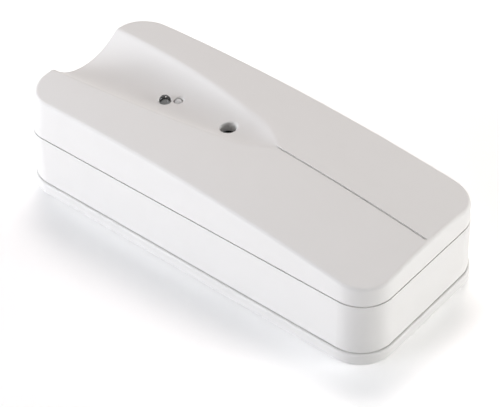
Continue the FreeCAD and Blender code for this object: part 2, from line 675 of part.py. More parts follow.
def middle_housing():
    """Deep tray with a floor, board posts, the battery's cradle and the walls behind its contacts."""
    body = new_body("housing_moulding")
    casing_block(body, "housing_block", HOUSING_FOOT, HOUSING_RIM)
    for name, low, high in (
        ("housing_tongue", HOUSING_RIM, TONGUE_TOP),
        ("housing_skirt", "plate_floor", HOUSING_FOOT),
    ):
        casing_ring(body, name, low, f"{high} - {low}", TONGUE_OUTER, TONGUE_INNER)
    casing_block(body, "housing_hollow", HOUSING_FLOOR_TOP, f"({HOUSING_RIM} + hair)", "-wall", cuts=True)

    added = [body]
    cuts = []
    root = f"{HOUSING_FLOOR_TOP} - housing_floor / 2"
    for number, (x, y) in enumerate(BOARD_SCREWS, start=1):
        added.append(post(f"board_post_{number}", x, y, root, BOARD_UNDER, "post_radius"))
        foot = f"{BOARD_TOP} - screw_length - pilot_room"
        head = f"{BOARD_UNDER} + overshoot"
        cuts.append(post(f"pilot_{number}", x, y, foot, head, "screw_radius + screw_clearance"))
    cradle_top = f"{HOUSING_FLOOR_TOP} + cradle_height"
    for number, middle in enumerate(CELL_RIB_MIDDLES, start=1):
        added.append(
            box(
                f"cradle_{number}",
                f"{middle} - cradle_thickness / 2",
                f"{middle} + cradle_thickness / 2",
                f"{CELL_Y} - cell_radius - cradle_shoulder",
                f"{CELL_Y} + cell_radius + cradle_shoulder",
                root,
                cradle_top,
            )
        )
    cuts.append(
        bar("cell_room", "X", f"{CELL_START} - nub_length", CELL_Y, CELL_Z,
            "cell_length + nub_length", "cell_radius + cell_clearance")
    )
    for name, west, east in (
        ("positive_wall", f"{POSITIVE_BACK} - contact_wall", POSITIVE_BACK),
        ("negative_wall", NEGATIVE_BACK, f"{NEGATIVE_BACK} + contact_wall"),
    ):
        south = f"{CELL_Y} - contact_width / 2 - contact_margin"
        north = f"{CELL_Y} + contact_width / 2 + contact_margin"
        added.append(box(name, west, east, south, north, root, f"{CELL_Z} - contact_wall_drop"))

    for north in EAST_WEST:
        for east in EAST_WEST:
            tag = f"{east}_{north}".replace("-", "m")
            middle = f"{east} * plate_latch_from_middle"
            near = f"({HALF_WIDTH} - plate_latch_inset - latch_thickness - latch_play)"
            far = f"({HALF_WIDTH} - plate_latch_inset + latch_barb + latch_play)"
            south, top = (near, far) if north > 0 else (f"-{far}", f"-{near}")
            cuts.append(
                box(
                    "latch_window_" + tag,
                    f"{middle} - latch_length / 2 - latch_play",
                    f"{middle} + latch_length / 2 + latch_play",
                    south,
                    top,
                    f"{HOUSING_FOOT} - overshoot",
                    f"{HOUSING_FLOOR_TOP} + overshoot",
                )
            )
        for number, x in enumerate(COVER_LATCHES, start=1):
            tag = f"{number}_{north}".replace("-", "m")
            near = f"({HALF_WIDTH} - wall - catch_reach)"
            far = f"({HALF_WIDTH} - wall + latch_barb + latch_play)"
            south, top = (near, far) if north > 0 else (f"-{far}", f"-{near}")
            cuts.append(
                box(
                    "catch_" + tag,
                    f"{x} - latch_length / 2 - latch_play",
                    f"{x} + latch_length / 2 + latch_play",
                    south,
                    top,
                    f"{COVER_LATCH_BARB} - 2 * latch_barb - latch_play",
                    f"{COVER_LATCH_BARB} + fit_clearance",
                )
            )
    return sub_part(cut("housing_cut", fuse("housing_joined", added), cuts), "middle_housing")


def front_height(x):
    """Height of the front's ridge above the upper seam."""
    return f"(cover_height + crown_rise - ({x} + crest_offset) ^ 2 / (2 * slope_radius))"


def crown_cut(body, name, inset):
    """Takes off all that stands above the crowned, lengthwise sloping front."""
    ridge = f"(slope_radius - ({inset}))"
    crown = f"({CROWN_RADIUS} - ({inset}))"
    half = f"({HALF_WIDTH} + overshoot)"
    sky = f"({ridge} + sky_room)"
    sketch = sketch_on(
        body, name + "_section", "YZ_Plane", y=f"{COVER_RIDGE} - slope_radius", out="-crest_offset"
    )
    centre = size(ridge) - size(crown)
    spread = math.asin(size(half) / size(crown))
    brow = centre + math.sqrt(size(crown) ** 2 - size(half) ** 2)
    circle = Part.Circle(Vector(0, centre, 0), Vector(0, 0, 1), size(crown))
    sketch.addGeometry(Part.ArcOfCircle(circle, math.pi / 2 - spread, math.pi / 2 + spread), False)
    path = [(-size(half), brow), (-size(half), size(sky)), (size(half), size(sky)), (size(half), brow)]
    for start, stop in zip(path, path[1:]):
        sketch.addGeometry(Part.LineSegment(Vector(*start, 0), Vector(*stop, 0)), False)
    for curve in range(4):
        sketch.addConstraint(Sketcher.Constraint("Coincident", curve, 2, (curve + 1) % 4, 1))
    for kind, line in (("Vertical", 1), ("Horizontal", 2), ("Vertical", 3)):
        sketch.addConstraint(Sketcher.Constraint(kind, line))
    sketch.addConstraint(Sketcher.Constraint("PointOnObject", 0, 3, -2))
    measure(sketch, "DistanceX", -1, 1, 3, 1, "right", half)
    measure(sketch, "DistanceX", -1, 1, 1, 1, "left", f"-{half}")
    measure(sketch, "DistanceY", -1, 1, 2, 1, "sky", sky)
    measure(sketch, "Radius", 0, "crown", crown)
    measure(sketch, "DistanceY", -1, 1, 0, 3, "centre", f"{ridge} - {crown}")
    return revolve(body, name, sketch, "H_Axis", turn=CROWN_TURN, cuts=True)


def scoop_cut(body, name, inset):
    """The sound scoop: round sections along the casing that close to a tip."""
    stations = [
        ("end", "-scoop_reach", "scoop_end_half", "scoop_end_floor"),
        ("mouth", "(-mouth_from_middle)", "scoop_mouth_half", "scoop_mouth_floor"),
        ("lens", LENS_X, "scoop_lens_half", "scoop_lens_floor"),
        ("port", PORT_X, "scoop_port_half", "scoop_port_floor"),
        ("nose", "nose_from_middle", "scoop_nose_half", "scoop_nose_floor"),
    ]
    sections = []
    for place, x, half, floor in stations:
        depth = f"({front_height(x)} - {half} ^ 2 / (2 * {CROWN_RADIUS}) - {floor})"
        radius = f"(({half} ^ 2 + {depth} ^ 2) / (2 * {depth}))"
        centre = f"{UPPER_SEAM} + {floor} + {radius}"
        section = sketch_on(body, f"{name}_{place}", "YZ_Plane", y=centre, out=x)
        draw_circle(section, "0", "0", f"{radius} + ({inset})")
        sections.append(section)
    centre = f"{UPPER_SEAM} + {front_height('tip_from_middle')} + tip_radius"
    tip = sketch_on(body, f"{name}_tip", "YZ_Plane", y=centre, out="tip_from_middle")
    draw_circle(tip, "0", "0", f"tip_radius + ({inset})")
    sections.append(tip)
    return loft(body, name, sections, cuts=True, ruled=False)


def cover_form(name, inset, foot):
    """The front's full form, or the room inside it when it is set in by the wall."""
    body = new_body(name)
    head = f"({COVER_RIDGE} + overshoot)"
    sections = []
    for place, height in (("foot", foot), ("head", head)):
        rise = f"({height} - {UPPER_SEAM})"
        grow = f"-({inset}) - {rise} * {LEAN}"
        sections.append(
            casing_outline(body, f"{name}_{place}", height, grow, f"end_rake * {rise} / cover_height")
        )
    loft(body, name + "_sides", sections)
    crown_cut(body, name + "_crown", inset)
    scoop_cut(body, name + "_scoop", inset)
    return body


def fine_line(body):
    """The fine groove from the scoop's tip to the thin end."""
    sketch = sketch_on(body, "line_profile", "XZ_Plane", x="-crest_offset", y=f"{COVER_RIDGE} - slope_radius")
    start = "(tip_from_middle + crest_offset)"
    stop = "(line_end + crest_offset)"
    bottom = "(slope_radius - line_depth)"
    top = "(slope_radius + overshoot)"
    corners = {}
    for radius in (bottom, top):
        for x in (start, stop):
            corners[radius, x] = (size(x), math.sqrt(size(radius) ** 2 - size(x) ** 2))
    for radius in (bottom, top):
        angles = [math.atan2(corners[radius, x][1], corners[radius, x][0]) for x in (stop, start)]
        circle = Part.Circle(Vector(0, 0, 0), Vector(0, 0, 1), size(radius))
        sketch.addGeometry(Part.ArcOfCircle(circle, *angles), False)
    for x in (stop, start):
        ends = [Vector(*corners[radius, x], 0) for radius in (bottom, top)]
        sketch.addGeometry(Part.LineSegment(*ends), False)
    for arc, radius in ((0, bottom), (1, top)):
        sketch.addConstraint(Sketcher.Constraint("Coincident", arc, 3, -1, 1))
        measure(sketch, "Radius", arc, f"radius_{arc}", radius)
        for end, line in ((1, 2), (2, 3)):
            sketch.addConstraint(Sketcher.Constraint("Coincident", arc, end, line, arc + 1))
    for line, x in ((2, stop), (3, start)):
        sketch.addConstraint(Sketcher.Constraint("Vertical", line))
        measure(sketch, "DistanceX", -1, 1, line, 1, f"x_{line}", x)
    return pocket(body, "fine_line", sketch, "line_width", symmetric=True)


def front_cover():
    """Scooped, crowned and sloping shell with its pads, collar, cell ribs and latches."""
    outer = cover_form("cover_outer", "0", COVER_FOOT)
    skirt_top = size(f"{UPPER_SEAM} + overshoot")
    round_edges(outer, "cover_edges", "edge_round", lambda edge: edge.BoundBox.ZMin > skirt_top)
    fine_line(outer)
    rebate = casing_outline(outer, "cover_rebate_plan", TONGUE_TOP, REBATE)
    pocket(outer, "cover_rebate", rebate, f"{TONGUE_TOP} - {COVER_FOOT} + overshoot")
    room = cover_form("cover_room", "wall", f"({UPPER_SEAM} - overshoot)")

    sky = f"({COVER_RIDGE} + overshoot)"
    collar_foot = f"{PORT_PAD} - collar_depth"
    collar = cut(
        "port_collar",
        post("collar_outer", PORT_X, "0", collar_foot, sky, f"{COLLAR_BORE} + collar_wall"),
        [post("collar_bore", PORT_X, "0", f"{collar_foot} - overshoot", PORT_PAD, COLLAR_BORE)],
    )
    lens_pad = box(
        "lens_pad",
        f"{LENS_X} - lens_radius - lens_pad_border",
        f"{SECOND_LENS_X} + second_lens_radius + lens_pad_border",
        "-lens_radius - lens_pad_border",
        "second_lens_across + second_lens_radius + lens_pad_border",
        LENS_PAD,
        sky,
    )
    kept = [collar, lens_pad]
    for number, middle in enumerate(CELL_RIB_MIDDLES, start=1):
        rib = box(
            f"cell_rib_{number}_block",
            f"{middle} - cradle_thickness / 2",
            f"{middle} + cradle_thickness / 2",
            f"{CELL_Y} - cell_radius + cell_rib_inset",
            f"{CELL_Y} + cell_radius - cell_rib_inset",
            f"{CELL_Z} + cell_radius / 2",
            sky,
        )
        hug = bar(
            f"cell_rib_{number}_hug", "X", f"{middle} - cradle_thickness", CELL_Y, CELL_Z,
            "2 * cradle_thickness", "cell_radius + cell_clearance",
        )
        kept.append(cut(f"cell_rib_{number}", rib, [hug]))
    shell = cut("cover_shell", outer, [cut("cover_hollow", room, kept)])

    pieces = [shell]
    for number, x in enumerate(COVER_LATCHES, start=1):
        for north in EAST_WEST:
            tag = f"{number}_{north}".replace("-", "m")
            inner = f"({HALF_WIDTH} - wall - latch_play / 2 - latch_thickness)"
            outer_face = f"({HALF_WIDTH} - wall - latch_play / 2)"
            step = f"({TONGUE_TOP} + fit_clearance)"
            foot = f"({UPPER_SEAM} - cover_latch_drop)"
            root = f"({UPPER_SEAM} + cover_latch_root)"
            profile = [
                (inner, foot),
                (outer_face, foot),
                (f"{outer_face} + latch_barb", COVER_LATCH_BARB),
                (outer_face, COVER_LATCH_BARB),
                (outer_face, step),
                (f"{HALF_WIDTH} - wall / 2", step),
                (f"{HALF_WIDTH} - wall / 2", root),
                (inner, root),
            ]
            pieces.append(latch("cover_latch_" + tag, x, north, profile))

    bevel_foot = f"({PORT_FLOOR} - port_bevel)"
    lens_foot = f"{LENS_PAD} - overshoot"
    bores = [
        post("port_bore", PORT_X, "0", f"{PORT_PAD} - overshoot", sky, "port_radius"),
        cone("port_bevel_cut", PORT_X, "0", bevel_foot, f"{PORT_FLOOR} + port_bevel",
             "port_radius", "port_radius + 2 * port_bevel"),
        post("lens_bore", LENS_X, "0", lens_foot, sky, "lens_radius + lens_clearance"),
        post("second_lens_bore", SECOND_LENS_X, "second_lens_across", lens_foot, sky,
             "second_lens_radius + lens_clearance"),
    ]
    return sub_part(cut("cover_cut", fuse("cover_joined", pieces), bores), "front_cover")


# The circuit board and what stands on it

def circuit_board():
    """Board with an arm beside the cell, holes for screws and leads, and notches for the latches."""
    body = new_body("board_blank")
    main = sketch_on(body, "board_plan", "XY_Plane", out=BOARD_UNDER)
    draw_rounded_rectangle(main, BOARD_END, BOARD_EDGE, f"-{BOARD_SIDE}", BOARD_SIDE, "board_corner")
    pad(body, "board_main", main, "board_thickness")
    arm = sketch_on(body, "arm_plan", "XY_Plane", out=BOARD_UNDER)
    arm_root = f"{BOARD_EDGE} - 3 * arm_corner"
    draw_rounded_rectangle(arm, arm_root, ARM_END, "arm_inner_side", BOARD_SIDE, "arm_corner")
    pad(body, "board_arm", arm, "board_thickness")
    holes = sketch_on(body, "board_holes_plan", "XY_Plane", out=BOARD_TOP)
    for x, y in BOARD_SCREWS:
        draw_circle(holes, x, y, "screw_radius + screw_hole_room")
    for y in ("-pin_spacing / 2", "pin_spacing / 2"):
        draw_circle(holes, PORT_X, y, "pin_radius + fit_clearance")
    for north in EAST_WEST:
        draw_circle(holes, REED_X, f"{north} * (reed_length / 2 + reed_lead)", "pin_radius + fit_clearance")
    for x in (ANTENNA_START, ANTENNA_END):
        draw_circle(holes, x, ANTENNA_Y, "antenna_radius + fit_clearance")
    pocket(body, "board_holes", holes, "board_thickness")
    notches = []
    for number, x in enumerate(COVER_LATCHES, start=1):
        for north in EAST_WEST:
            near = f"({HALF_WIDTH} - wall - latch_thickness - 2 * latch_play)"
            south, top = (near, f"({HALF_WIDTH})") if north > 0 else (f"-{HALF_WIDTH}", f"-{near}")
            notches.append(
                box(
                    f"board_notch_{number}_{north}".replace("-", "m"),
                    f"{x} - latch_length / 2 - latch_play",
                    f"{x} + latch_length / 2 + latch_play",
                    south,
                    top,
                    f"{BOARD_UNDER} - overshoot",
                    f"{BOARD_TOP} + overshoot",
                )
            )
    for place in HEADER_PINS:
        y = f"{place} * pin_spacing"
        x = f"({BOARD_END} + header_inset)"
        half = "(header_pin / 2 + jumper_play)"
        notches.append(
            box(f"header_hole_{place}".replace("-", "m"), f"{x} - {half}", f"{x} + {half}",
                f"{y} - {half}", f"{y} + {half}", f"{BOARD_UNDER} - overshoot", f"{BOARD_TOP} + overshoot")
        )
    return sub_part(cut("board_cut", body, notches), "circuit_board")


def board_screws():
    """Self-tapping screws with a cross recess, one in each post."""
    screws = []
    for number, (x, y) in enumerate(BOARD_SCREWS, start=1):
        head_top = f"({BOARD_TOP} + screw_head_height)"
        shank = post(f"screw_shank_{number}", x, y, f"{BOARD_TOP} - screw_length", BOARD_TOP, "screw_radius")
        head = cone(f"screw_head_{number}", x, y, BOARD_TOP, head_top, "screw_head_radius", "screw_head_top")
        slots = []
        for name, along, across in (
            ("long", "slot_reach", "slot_half"),
            ("cross", "slot_half", "slot_reach"),
        ):
            slots.append(
                box(f"{name}_slot_{number}", f"{x} - {along}", f"{x} + {along}", f"{y} - {across}",
                    f"{y} + {across}", f"{head_top} - slot_depth", f"{head_top} + overshoot")
            )
        screws.append(cut(f"screw_{number}", fuse(f"screw_blank_{number}", [shank, head]), slots))
    return sub_part(group("screw_group", screws), "board_screws")


def turned(name, plane, x, y, out, axis, profile):
    """A body turned about one axis of the sketch that holds its half profile."""
    body = new_body(name)
    sketch = sketch_on(body, name + "_profile", plane, x=x, y=y, out=out)
    draw_polygon(sketch, profile)
    revolve(body, name + "_turned", sketch, axis)
    return body


def battery_cell():
    """Sealed lithium cell with its nub towards the board."""
    profile = [
        (POSITIVE_FACE, "0"),
        (POSITIVE_FACE, "nub_radius"),
        (CELL_START, "nub_radius"),
        (CELL_START, "cell_radius - cell_shoulder"),
        (f"{CELL_START} + cell_shoulder", "cell_radius"),
        (f"{CELL_END} - cell_heel", "cell_radius"),
        (CELL_END, "cell_radius - cell_heel"),
        (CELL_END, "0"),
    ]
    return sub_part(turned("cell", "XY_Plane", "0", CELL_Y, CELL_Z, "H_Axis", profile), "battery_cell")


def positive_contact():
    """Sheet contact between the nub and its wall, folded over on to the board."""
    body = new_body("positive_sheet")
    sketch = sketch_on(body, "positive_profile", "XZ_Plane", out="cell_side")
    top = f"({BOARD_TOP} + contact_sheet)"
    draw_polygon(sketch, [
        (POSITIVE_BACK, HOUSING_FLOOR_TOP),
        (POSITIVE_FACE, HOUSING_FLOOR_TOP),
        (POSITIVE_FACE, top),
        (f"{BOARD_EDGE} - contact_flange", top),
        (f"{BOARD_EDGE} - contact_flange", BOARD_TOP),
        (POSITIVE_BACK, BOARD_TOP),
    ])
    pad(body, "positive_fold", sketch, "contact_width", symmetric=True)
    return sub_part(body, "positive_contact")


def negative_contact():
    """Sheet contact behind the spring, with a wing that folds over on to the board's arm."""
    wing_end = "(arm_inner_side + wing_reach)"
    top = f"({BOARD_TOP} + contact_sheet)"
    south = f"{CELL_Y} - contact_width / 2"
    sheet = box("negative_sheet", NEGATIVE_FACE, NEGATIVE_BACK, south, f"{CELL_Y} + contact_width / 2",
                HOUSING_FLOOR_TOP, top)
    wing_foot = f"{CELL_Z} - contact_wall_drop"
    wing = box("negative_wing", NEGATIVE_FACE, NEGATIVE_BACK, CELL_Y, wing_end, wing_foot, top)
    flange = box("negative_flange", f"{ARM_END} - contact_flange", NEGATIVE_BACK,
                 "arm_inner_side + wing_inset", wing_end, BOARD_TOP, top)
    return sub_part(fuse("negative_joined", [sheet, wing, flange]), "negative_contact")


def negative_spring():
    """Bowed leaf on the negative contact that presses the cell on to the positive one."""
    body = new_body("leaf_body")
    sketch = sketch_on(body, "leaf_profile", "XY_Plane", x=NEGATIVE_FACE, y=CELL_Y, out=CELL_Z)
    foot = "(contact_width / 2 - leaf_inset)"
    knee = f"({foot} - leaf_foot)"
    slant = "leaf_sheet / 4"
    crest = "leaf_crest"
    draw_polygon(sketch, [
        ("0", f"-{foot}"),
        ("-leaf_sheet", f"-{foot}"),
        ("-leaf_sheet", f"-{knee}"),
        ("-spring_length", f"-{crest}"),
        ("-spring_length", crest),
        ("-leaf_sheet", knee),
        ("-leaf_sheet", foot),
        ("0", foot),
        ("0", f"{knee} - {slant}"),
        ("-spring_length + leaf_sheet", f"{crest} - {slant}"),
        ("-spring_length + leaf_sheet", f"-{crest} + {slant}"),
        ("0", f"-{knee} + {slant}"),
    ])
    pad(body, "leaf_strip", sketch, "leaf_width", symmetric=True)
    return sub_part(body, "negative_spring")


def microphone():
    """Capsule, its rubber boot, the dust mesh over it and its two leads."""
    rim = "capsule_radius - capsule_rim"
    groove_top = f"{CAPSULE_UNDER} + capsule_groove"
    hole_foot = f"{CAPSULE_TOP} - sound_hole_depth"
    capsule = turned("capsule", "XZ_Plane", PORT_X, "0", "0", "V_Axis", [
        ("0", CAPSULE_UNDER),
        (f"{rim} - capsule_groove", CAPSULE_UNDER),
        (f"{rim} - capsule_groove", groove_top),
        (rim, groove_top),
        (rim, CAPSULE_UNDER),
        ("capsule_radius", f"{CAPSULE_UNDER} + capsule_rim"),
        ("capsule_radius", f"{CAPSULE_TOP} - capsule_rim"),
        (rim, CAPSULE_TOP),
        ("sound_hole_radius", CAPSULE_TOP),
        ("sound_hole_radius", hole_foot),
        ("0", hole_foot),
    ])
    pocket_radius = "capsule_radius + fit_clearance"
    boot = turned("boot", "XZ_Plane", PORT_X, "0", "0", "V_Axis", [
        ("boot_bore", BOARD_TOP),
        (f"{BOOT_RADIUS} - boot_chamfer", BOARD_TOP),
        (BOOT_RADIUS, f"{BOARD_TOP} + boot_chamfer"),
        (BOOT_RADIUS, PORT_PAD),
        (pocket_radius, PORT_PAD),
        (pocket_radius, CAPSULE_UNDER),
        ("boot_bore", CAPSULE_UNDER),
    ])
    mesh = post("mesh_disc", PORT_X, "0", CAPSULE_TOP, PORT_PAD, "capsule_radius")
    leads = [
        post(f"microphone_lead_{north}".replace("-", "m"), PORT_X, f"{north} * pin_spacing / 2",
             f"{BOARD_UNDER} - pin_stub", CAPSULE_UNDER, "pin_radius")
        for north in EAST_WEST
    ]
    return [
        sub_part(capsule, "microphone_capsule"),
        sub_part(boot, "microphone_boot"),
        sub_part(mesh, "dust_mesh"),
        sub_part(group("lead_pair", leads), "microphone_leads"),
    ]


def light_pipe():
    """One clear moulding: two stems, a flange under the cover and two domed tips."""
    foot = f"({BOARD_TOP} + lamp_height + lamp_gap)"
    flange_under = f"({LENS_PAD} - flange_thickness)"
    flange = box(
        "pipe_flange",
        f"{LENS_X} - lens_radius - flange_border",
        f"{SECOND_LENS_X} + second_lens_radius + flange_border",
        "-lens_radius - flange_border",
        "second_lens_across + second_lens_radius + flange_border",
        flange_under,
        LENS_PAD,
    )
    pieces = [flange]
    second_centre = f"({LENS_FLOOR} - second_lens_sink)"
    for name, x, y, radius, centre in (
        ("first", LENS_X, "0", "lens_radius", LENS_FLOOR),
        ("second", SECOND_LENS_X, "second_lens_across", "second_lens_radius", second_centre),
    ):
        pieces.append(post(f"{name}_stem", x, y, foot, centre, radius))
        dome = doc.addObject("Part::Sphere", f"{name}_dome")
        bind(dome, "Radius", radius)
        bind(dome, "Placement.Base.x", x)
        bind(dome, "Placement.Base.y", y)
        bind(dome, "Placement.Base.z", centre)
        pieces.append(dome)
    return sub_part(fuse("pipe_joined", pieces), "light_pipe")


def lamp(label, x, y):
    """Surface lamp: a base with a smaller lens block on it."""
    top = f"({BOARD_TOP} + lamp_height)"
    step = f"({BOARD_TOP} + lamp_height / 2)"
    base = box(label + "_base", f"{x} - lamp_width / 2", f"{x} + lamp_width / 2", f"{y} - lamp_length / 2",
               f"{y} + lamp_length / 2", BOARD_TOP, step)
    lens = box(label + "_lens", f"{x} - lamp_width / 2", f"{x} + lamp_width / 2", f"{y} - lamp_length / 3",
               f"{y} + lamp_length / 3", step, top)
    return sub_part(fuse(label + "_joined", [base, lens]), label)


def leg_row(body, name, plane, x, y, out, count, pitch):
    """A row of gull legs, drawn on the plane that they are spaced square to."""
    sketch = sketch_on(body, name + "_profile", plane, x=x, y=y, out=out)
    sign = "-1" if name.endswith("_low") else "1"
    knee = "(package_lift + package_height / 2)"
    draw_polygon(sketch, [
        (f"{sign} * (-leg_root)", knee),
        (f"{sign} * (-leg_root)", f"{knee} + leg_thickness"),
        (f"{sign} * leg_reach / 2", f"{knee} + leg_thickness"),
        (f"{sign} * leg_reach / 2", "leg_thickness"),
        (f"{sign} * leg_reach", "leg_thickness"),
        (f"{sign} * leg_reach", "0"),
        (f"{sign} * (leg_reach / 2 - leg_thickness)", "0"),
        (f"{sign} * (leg_reach / 2 - leg_thickness)", knee),
    ])
    leg = pad(body, name + "_leg", sketch, "leg_width", symmetric=True)
    row = body.newObject("PartDesign::LinearPattern", name)
    row.Originals = [leg]
    row.Direction = (sketch, ["N_Axis"])
    row.Mode = "Spacing"
    row.Occurrences = count
    bind(row, "Offset", pitch)
    body.Tip = row
    return row


def chip_package(label, x, y, length, width, legs_along, pitch, legs_across=0):
    """Chip with legs on two sides, or on all four."""
    body = new_body(label + "_body")
    plan = sketch_on(body, label + "_plan", "XY_Plane", x=x, y=y, out=f"{BOARD_TOP} + package_lift")
    half_length, half_width = f"({length} / 2)", f"({width} / 2)"
    draw_polygon(plan, [
        (f"-{half_length}", f"-{half_width}"),
        (half_length, f"-{half_width}"),
        (half_length, half_width),
        (f"-{half_length}", half_width),
    ])
    pad(body, label + "_block", plan, "package_height")
    doc.recompute()
    # the YZ plane looks along +X, so a row starts at its lowest X and steps up
    start = f"{x} - {legs_along - 1} * {pitch} / 2"
    for end, edge in (("high", f"{y} + {half_width}"), ("low", f"{y} - {half_width}")):
        leg_row(body, f"{label}_legs_{end}", "YZ_Plane", edge, BOARD_TOP, start, legs_along, pitch)
    if legs_across:
        # the XZ plane looks along -Y, so a row starts at its highest Y and steps down
        start = f"-({y}) - {legs_across - 1} * {pitch} / 2"
        for end, edge in (("high", f"{x} + {half_length}"), ("low", f"{x} - {half_length}")):
            leg_row(body, f"{label}_ends_{end}", "XZ_Plane", edge, BOARD_TOP, start, legs_across, pitch)
    return sub_part(body, label)


def radio_shield():
    """Folded sheet can over the radio, open underneath, with vent holes."""
    x, y = "(-shield_from_middle)", f"({BOARD_SIDE} - shield_inset)"
    top = f"({BOARD_TOP} + shield_height)"
    half_length, half_width = "shield_length / 2", "shield_width / 2"
    block = box("shield_block", f"{x} - {half_length}", f"{x} + {half_length}", f"{y} - {half_width}",
                f"{y} + {half_width}", BOARD_TOP, top)
    room = box("shield_room", f"{x} - {half_length} + shield_sheet", f"{x} + {half_length} - shield_sheet",
               f"{y} - {half_width} + shield_sheet", f"{y} + {half_width} - shield_sheet",
               f"{BOARD_TOP} - overshoot", f"{top} - shield_sheet")
    vents = [
        post(f"vent_{place}".replace("-", "m"), f"{x} + {place} * shield_length / 4", y,
             f"{top} - overshoot", f"{top} + overshoot", "vent_radius")
        for place in VENT_PLACES
    ]
    return sub_part(cut("shield_cut", block, [room] + vents), "radio_shield")


def crystal():
    """Low crystal can on its flange."""
    body = new_body("crystal_can")
    for place, grow, height in (
        ("flange", "crystal_flange", "crystal_flange_height"),
        ("can", "0", "crystal_height"),
    ):
        sketch = sketch_on(body, f"crystal_{place}_plan", "XY_Plane", x="-crystal_from_middle",
                           y="-crystal_side", out=BOARD_TOP)
        draw_rounded_rectangle(
            sketch,
            f"-crystal_length / 2 - {grow}",
            f"crystal_length / 2 + {grow}",
            f"-crystal_width / 2 - {grow}",
            f"crystal_width / 2 + {grow}",
            f"crystal_width / 2 + {grow} - crystal_flat",
        )
        pad(body, f"crystal_{place}", sketch, height)
    return sub_part(body, "crystal")


def electrolytic_capacitor():
    """Upright can with the crimp above its plastic base."""
    crimp = f"{BOARD_TOP} + can_base"
    top = f"{BOARD_TOP} + can_height"
    profile = [
        ("0", BOARD_TOP),
        ("can_radius", BOARD_TOP),
        ("can_radius", crimp),
        ("can_radius - can_crimp", f"{crimp} + can_crimp_half"),
        ("can_radius", f"{crimp} + 2 * can_crimp_half"),
        ("can_radius", f"{top} - can_chamfer"),
        ("can_radius - can_chamfer", top),
        ("0", top),
    ]
    can = turned("capacitor_can", "XZ_Plane", "-can_from_middle", "0", "-can_side", "V_Axis", profile)
    return sub_part(can, "electrolytic_capacitor")


def chip_capacitors():
    """A row of small chips by the microcontroller."""
    chips = []
    for number in range(CHIP_COUNT):
        x = f"(-chip_row_start + {number} * chip_pitch)"
        chips.append(
            box(f"chip_{number}", f"{x} - chip_length / 2", f"{x} + chip_length / 2",
                "-chip_row_side - chip_width / 2", "-chip_row_side + chip_width / 2",
                BOARD_TOP, f"{BOARD_TOP} + chip_height")
        )
    return sub_part(group("chip_group", chips), "chip_capacitors")


def jumper():
    """Three-pin header at the board's end and the cap on two of its pins."""
    x = f"({BOARD_END} + header_inset)"
    half_base = "header_base / 2"
    base_top = f"({BOARD_TOP} + header_base)"
    pieces = [
        box("header_plastic", f"{x} - {half_base}", f"{x} + {half_base}", "-1.5 * pin_spacing",
            "1.5 * pin_spacing", BOARD_TOP, base_top)
    ]
    holes = []
    for place in HEADER_PINS:
        tag = str(place).replace("-", "m")
        y = f"({place} * pin_spacing)"
        half = "header_pin / 2"
        pieces.append(
            box(f"header_pin_{tag}", f"{x} - {half}", f"{x} + {half}", f"{y} - {half}", f"{y} + {half}",
                f"{BOARD_UNDER} - pin_stub", f"{BOARD_TOP} + header_rise")
        )
        room = "(header_pin / 2 + jumper_play)"
        holes.append(
            box(f"cap_hole_{tag}", f"{x} - {room}", f"{x} + {room}", f"{y} - {room}", f"{y} + {room}",
                f"{base_top} - overshoot", f"{base_top} + jumper_height - jumper_roof")
        )
    cap = box("cap_block", f"{x} - {half_base}", f"{x} + {half_base}", "-1.5 * pin_spacing",
              "0.5 * pin_spacing", base_top, f"{base_top} + jumper_height")
    return [
        sub_part(fuse("header_joined", pieces), "jumper_header"),
        sub_part(cut("cap_cut", cap, holes[:2]), "jumper_cap"),
    ]


def tamper_pair():
    """Reed switch hung under the board and the magnet in the wall plate below it."""
    reach = "(reed_length / 2 + reed_lead)"
    pieces = [
        bar("reed_glass", "Y", REED_X, "-reed_length / 2", REED_Z, "reed_length", "reed_radius"),
        bar("reed_wire", "Y", REED_X, f"-{reach}", REED_Z, f"2 * {reach}", "pin_radius"),
    ]
    for north in EAST_WEST:
        tag = str(north).replace("-", "m")
        pieces.append(
            post(f"reed_lead_{tag}", REED_X, f"{north} * {reach}", REED_Z, f"{BOARD_TOP} + reed_solder",
                 "pin_radius")
        )
        bend = doc.addObject("Part::Sphere", f"reed_bend_{tag}")
        bind(bend, "Radius", "pin_radius")
        bind(bend, "Placement.Base.x", REED_X)
        bind(bend, "Placement.Base.y", f"{north} * {reach}")
        bind(bend, "Placement.Base.z", REED_Z)
        pieces.append(bend)
    magnet = post("magnet_disc", REED_X, "0", "plate_floor", "plate_floor + magnet_height", "magnet_radius")
    return [sub_part(fuse("reed_joined", pieces), "tamper_reed_switch"), sub_part(magnet, "tamper_magnet")]


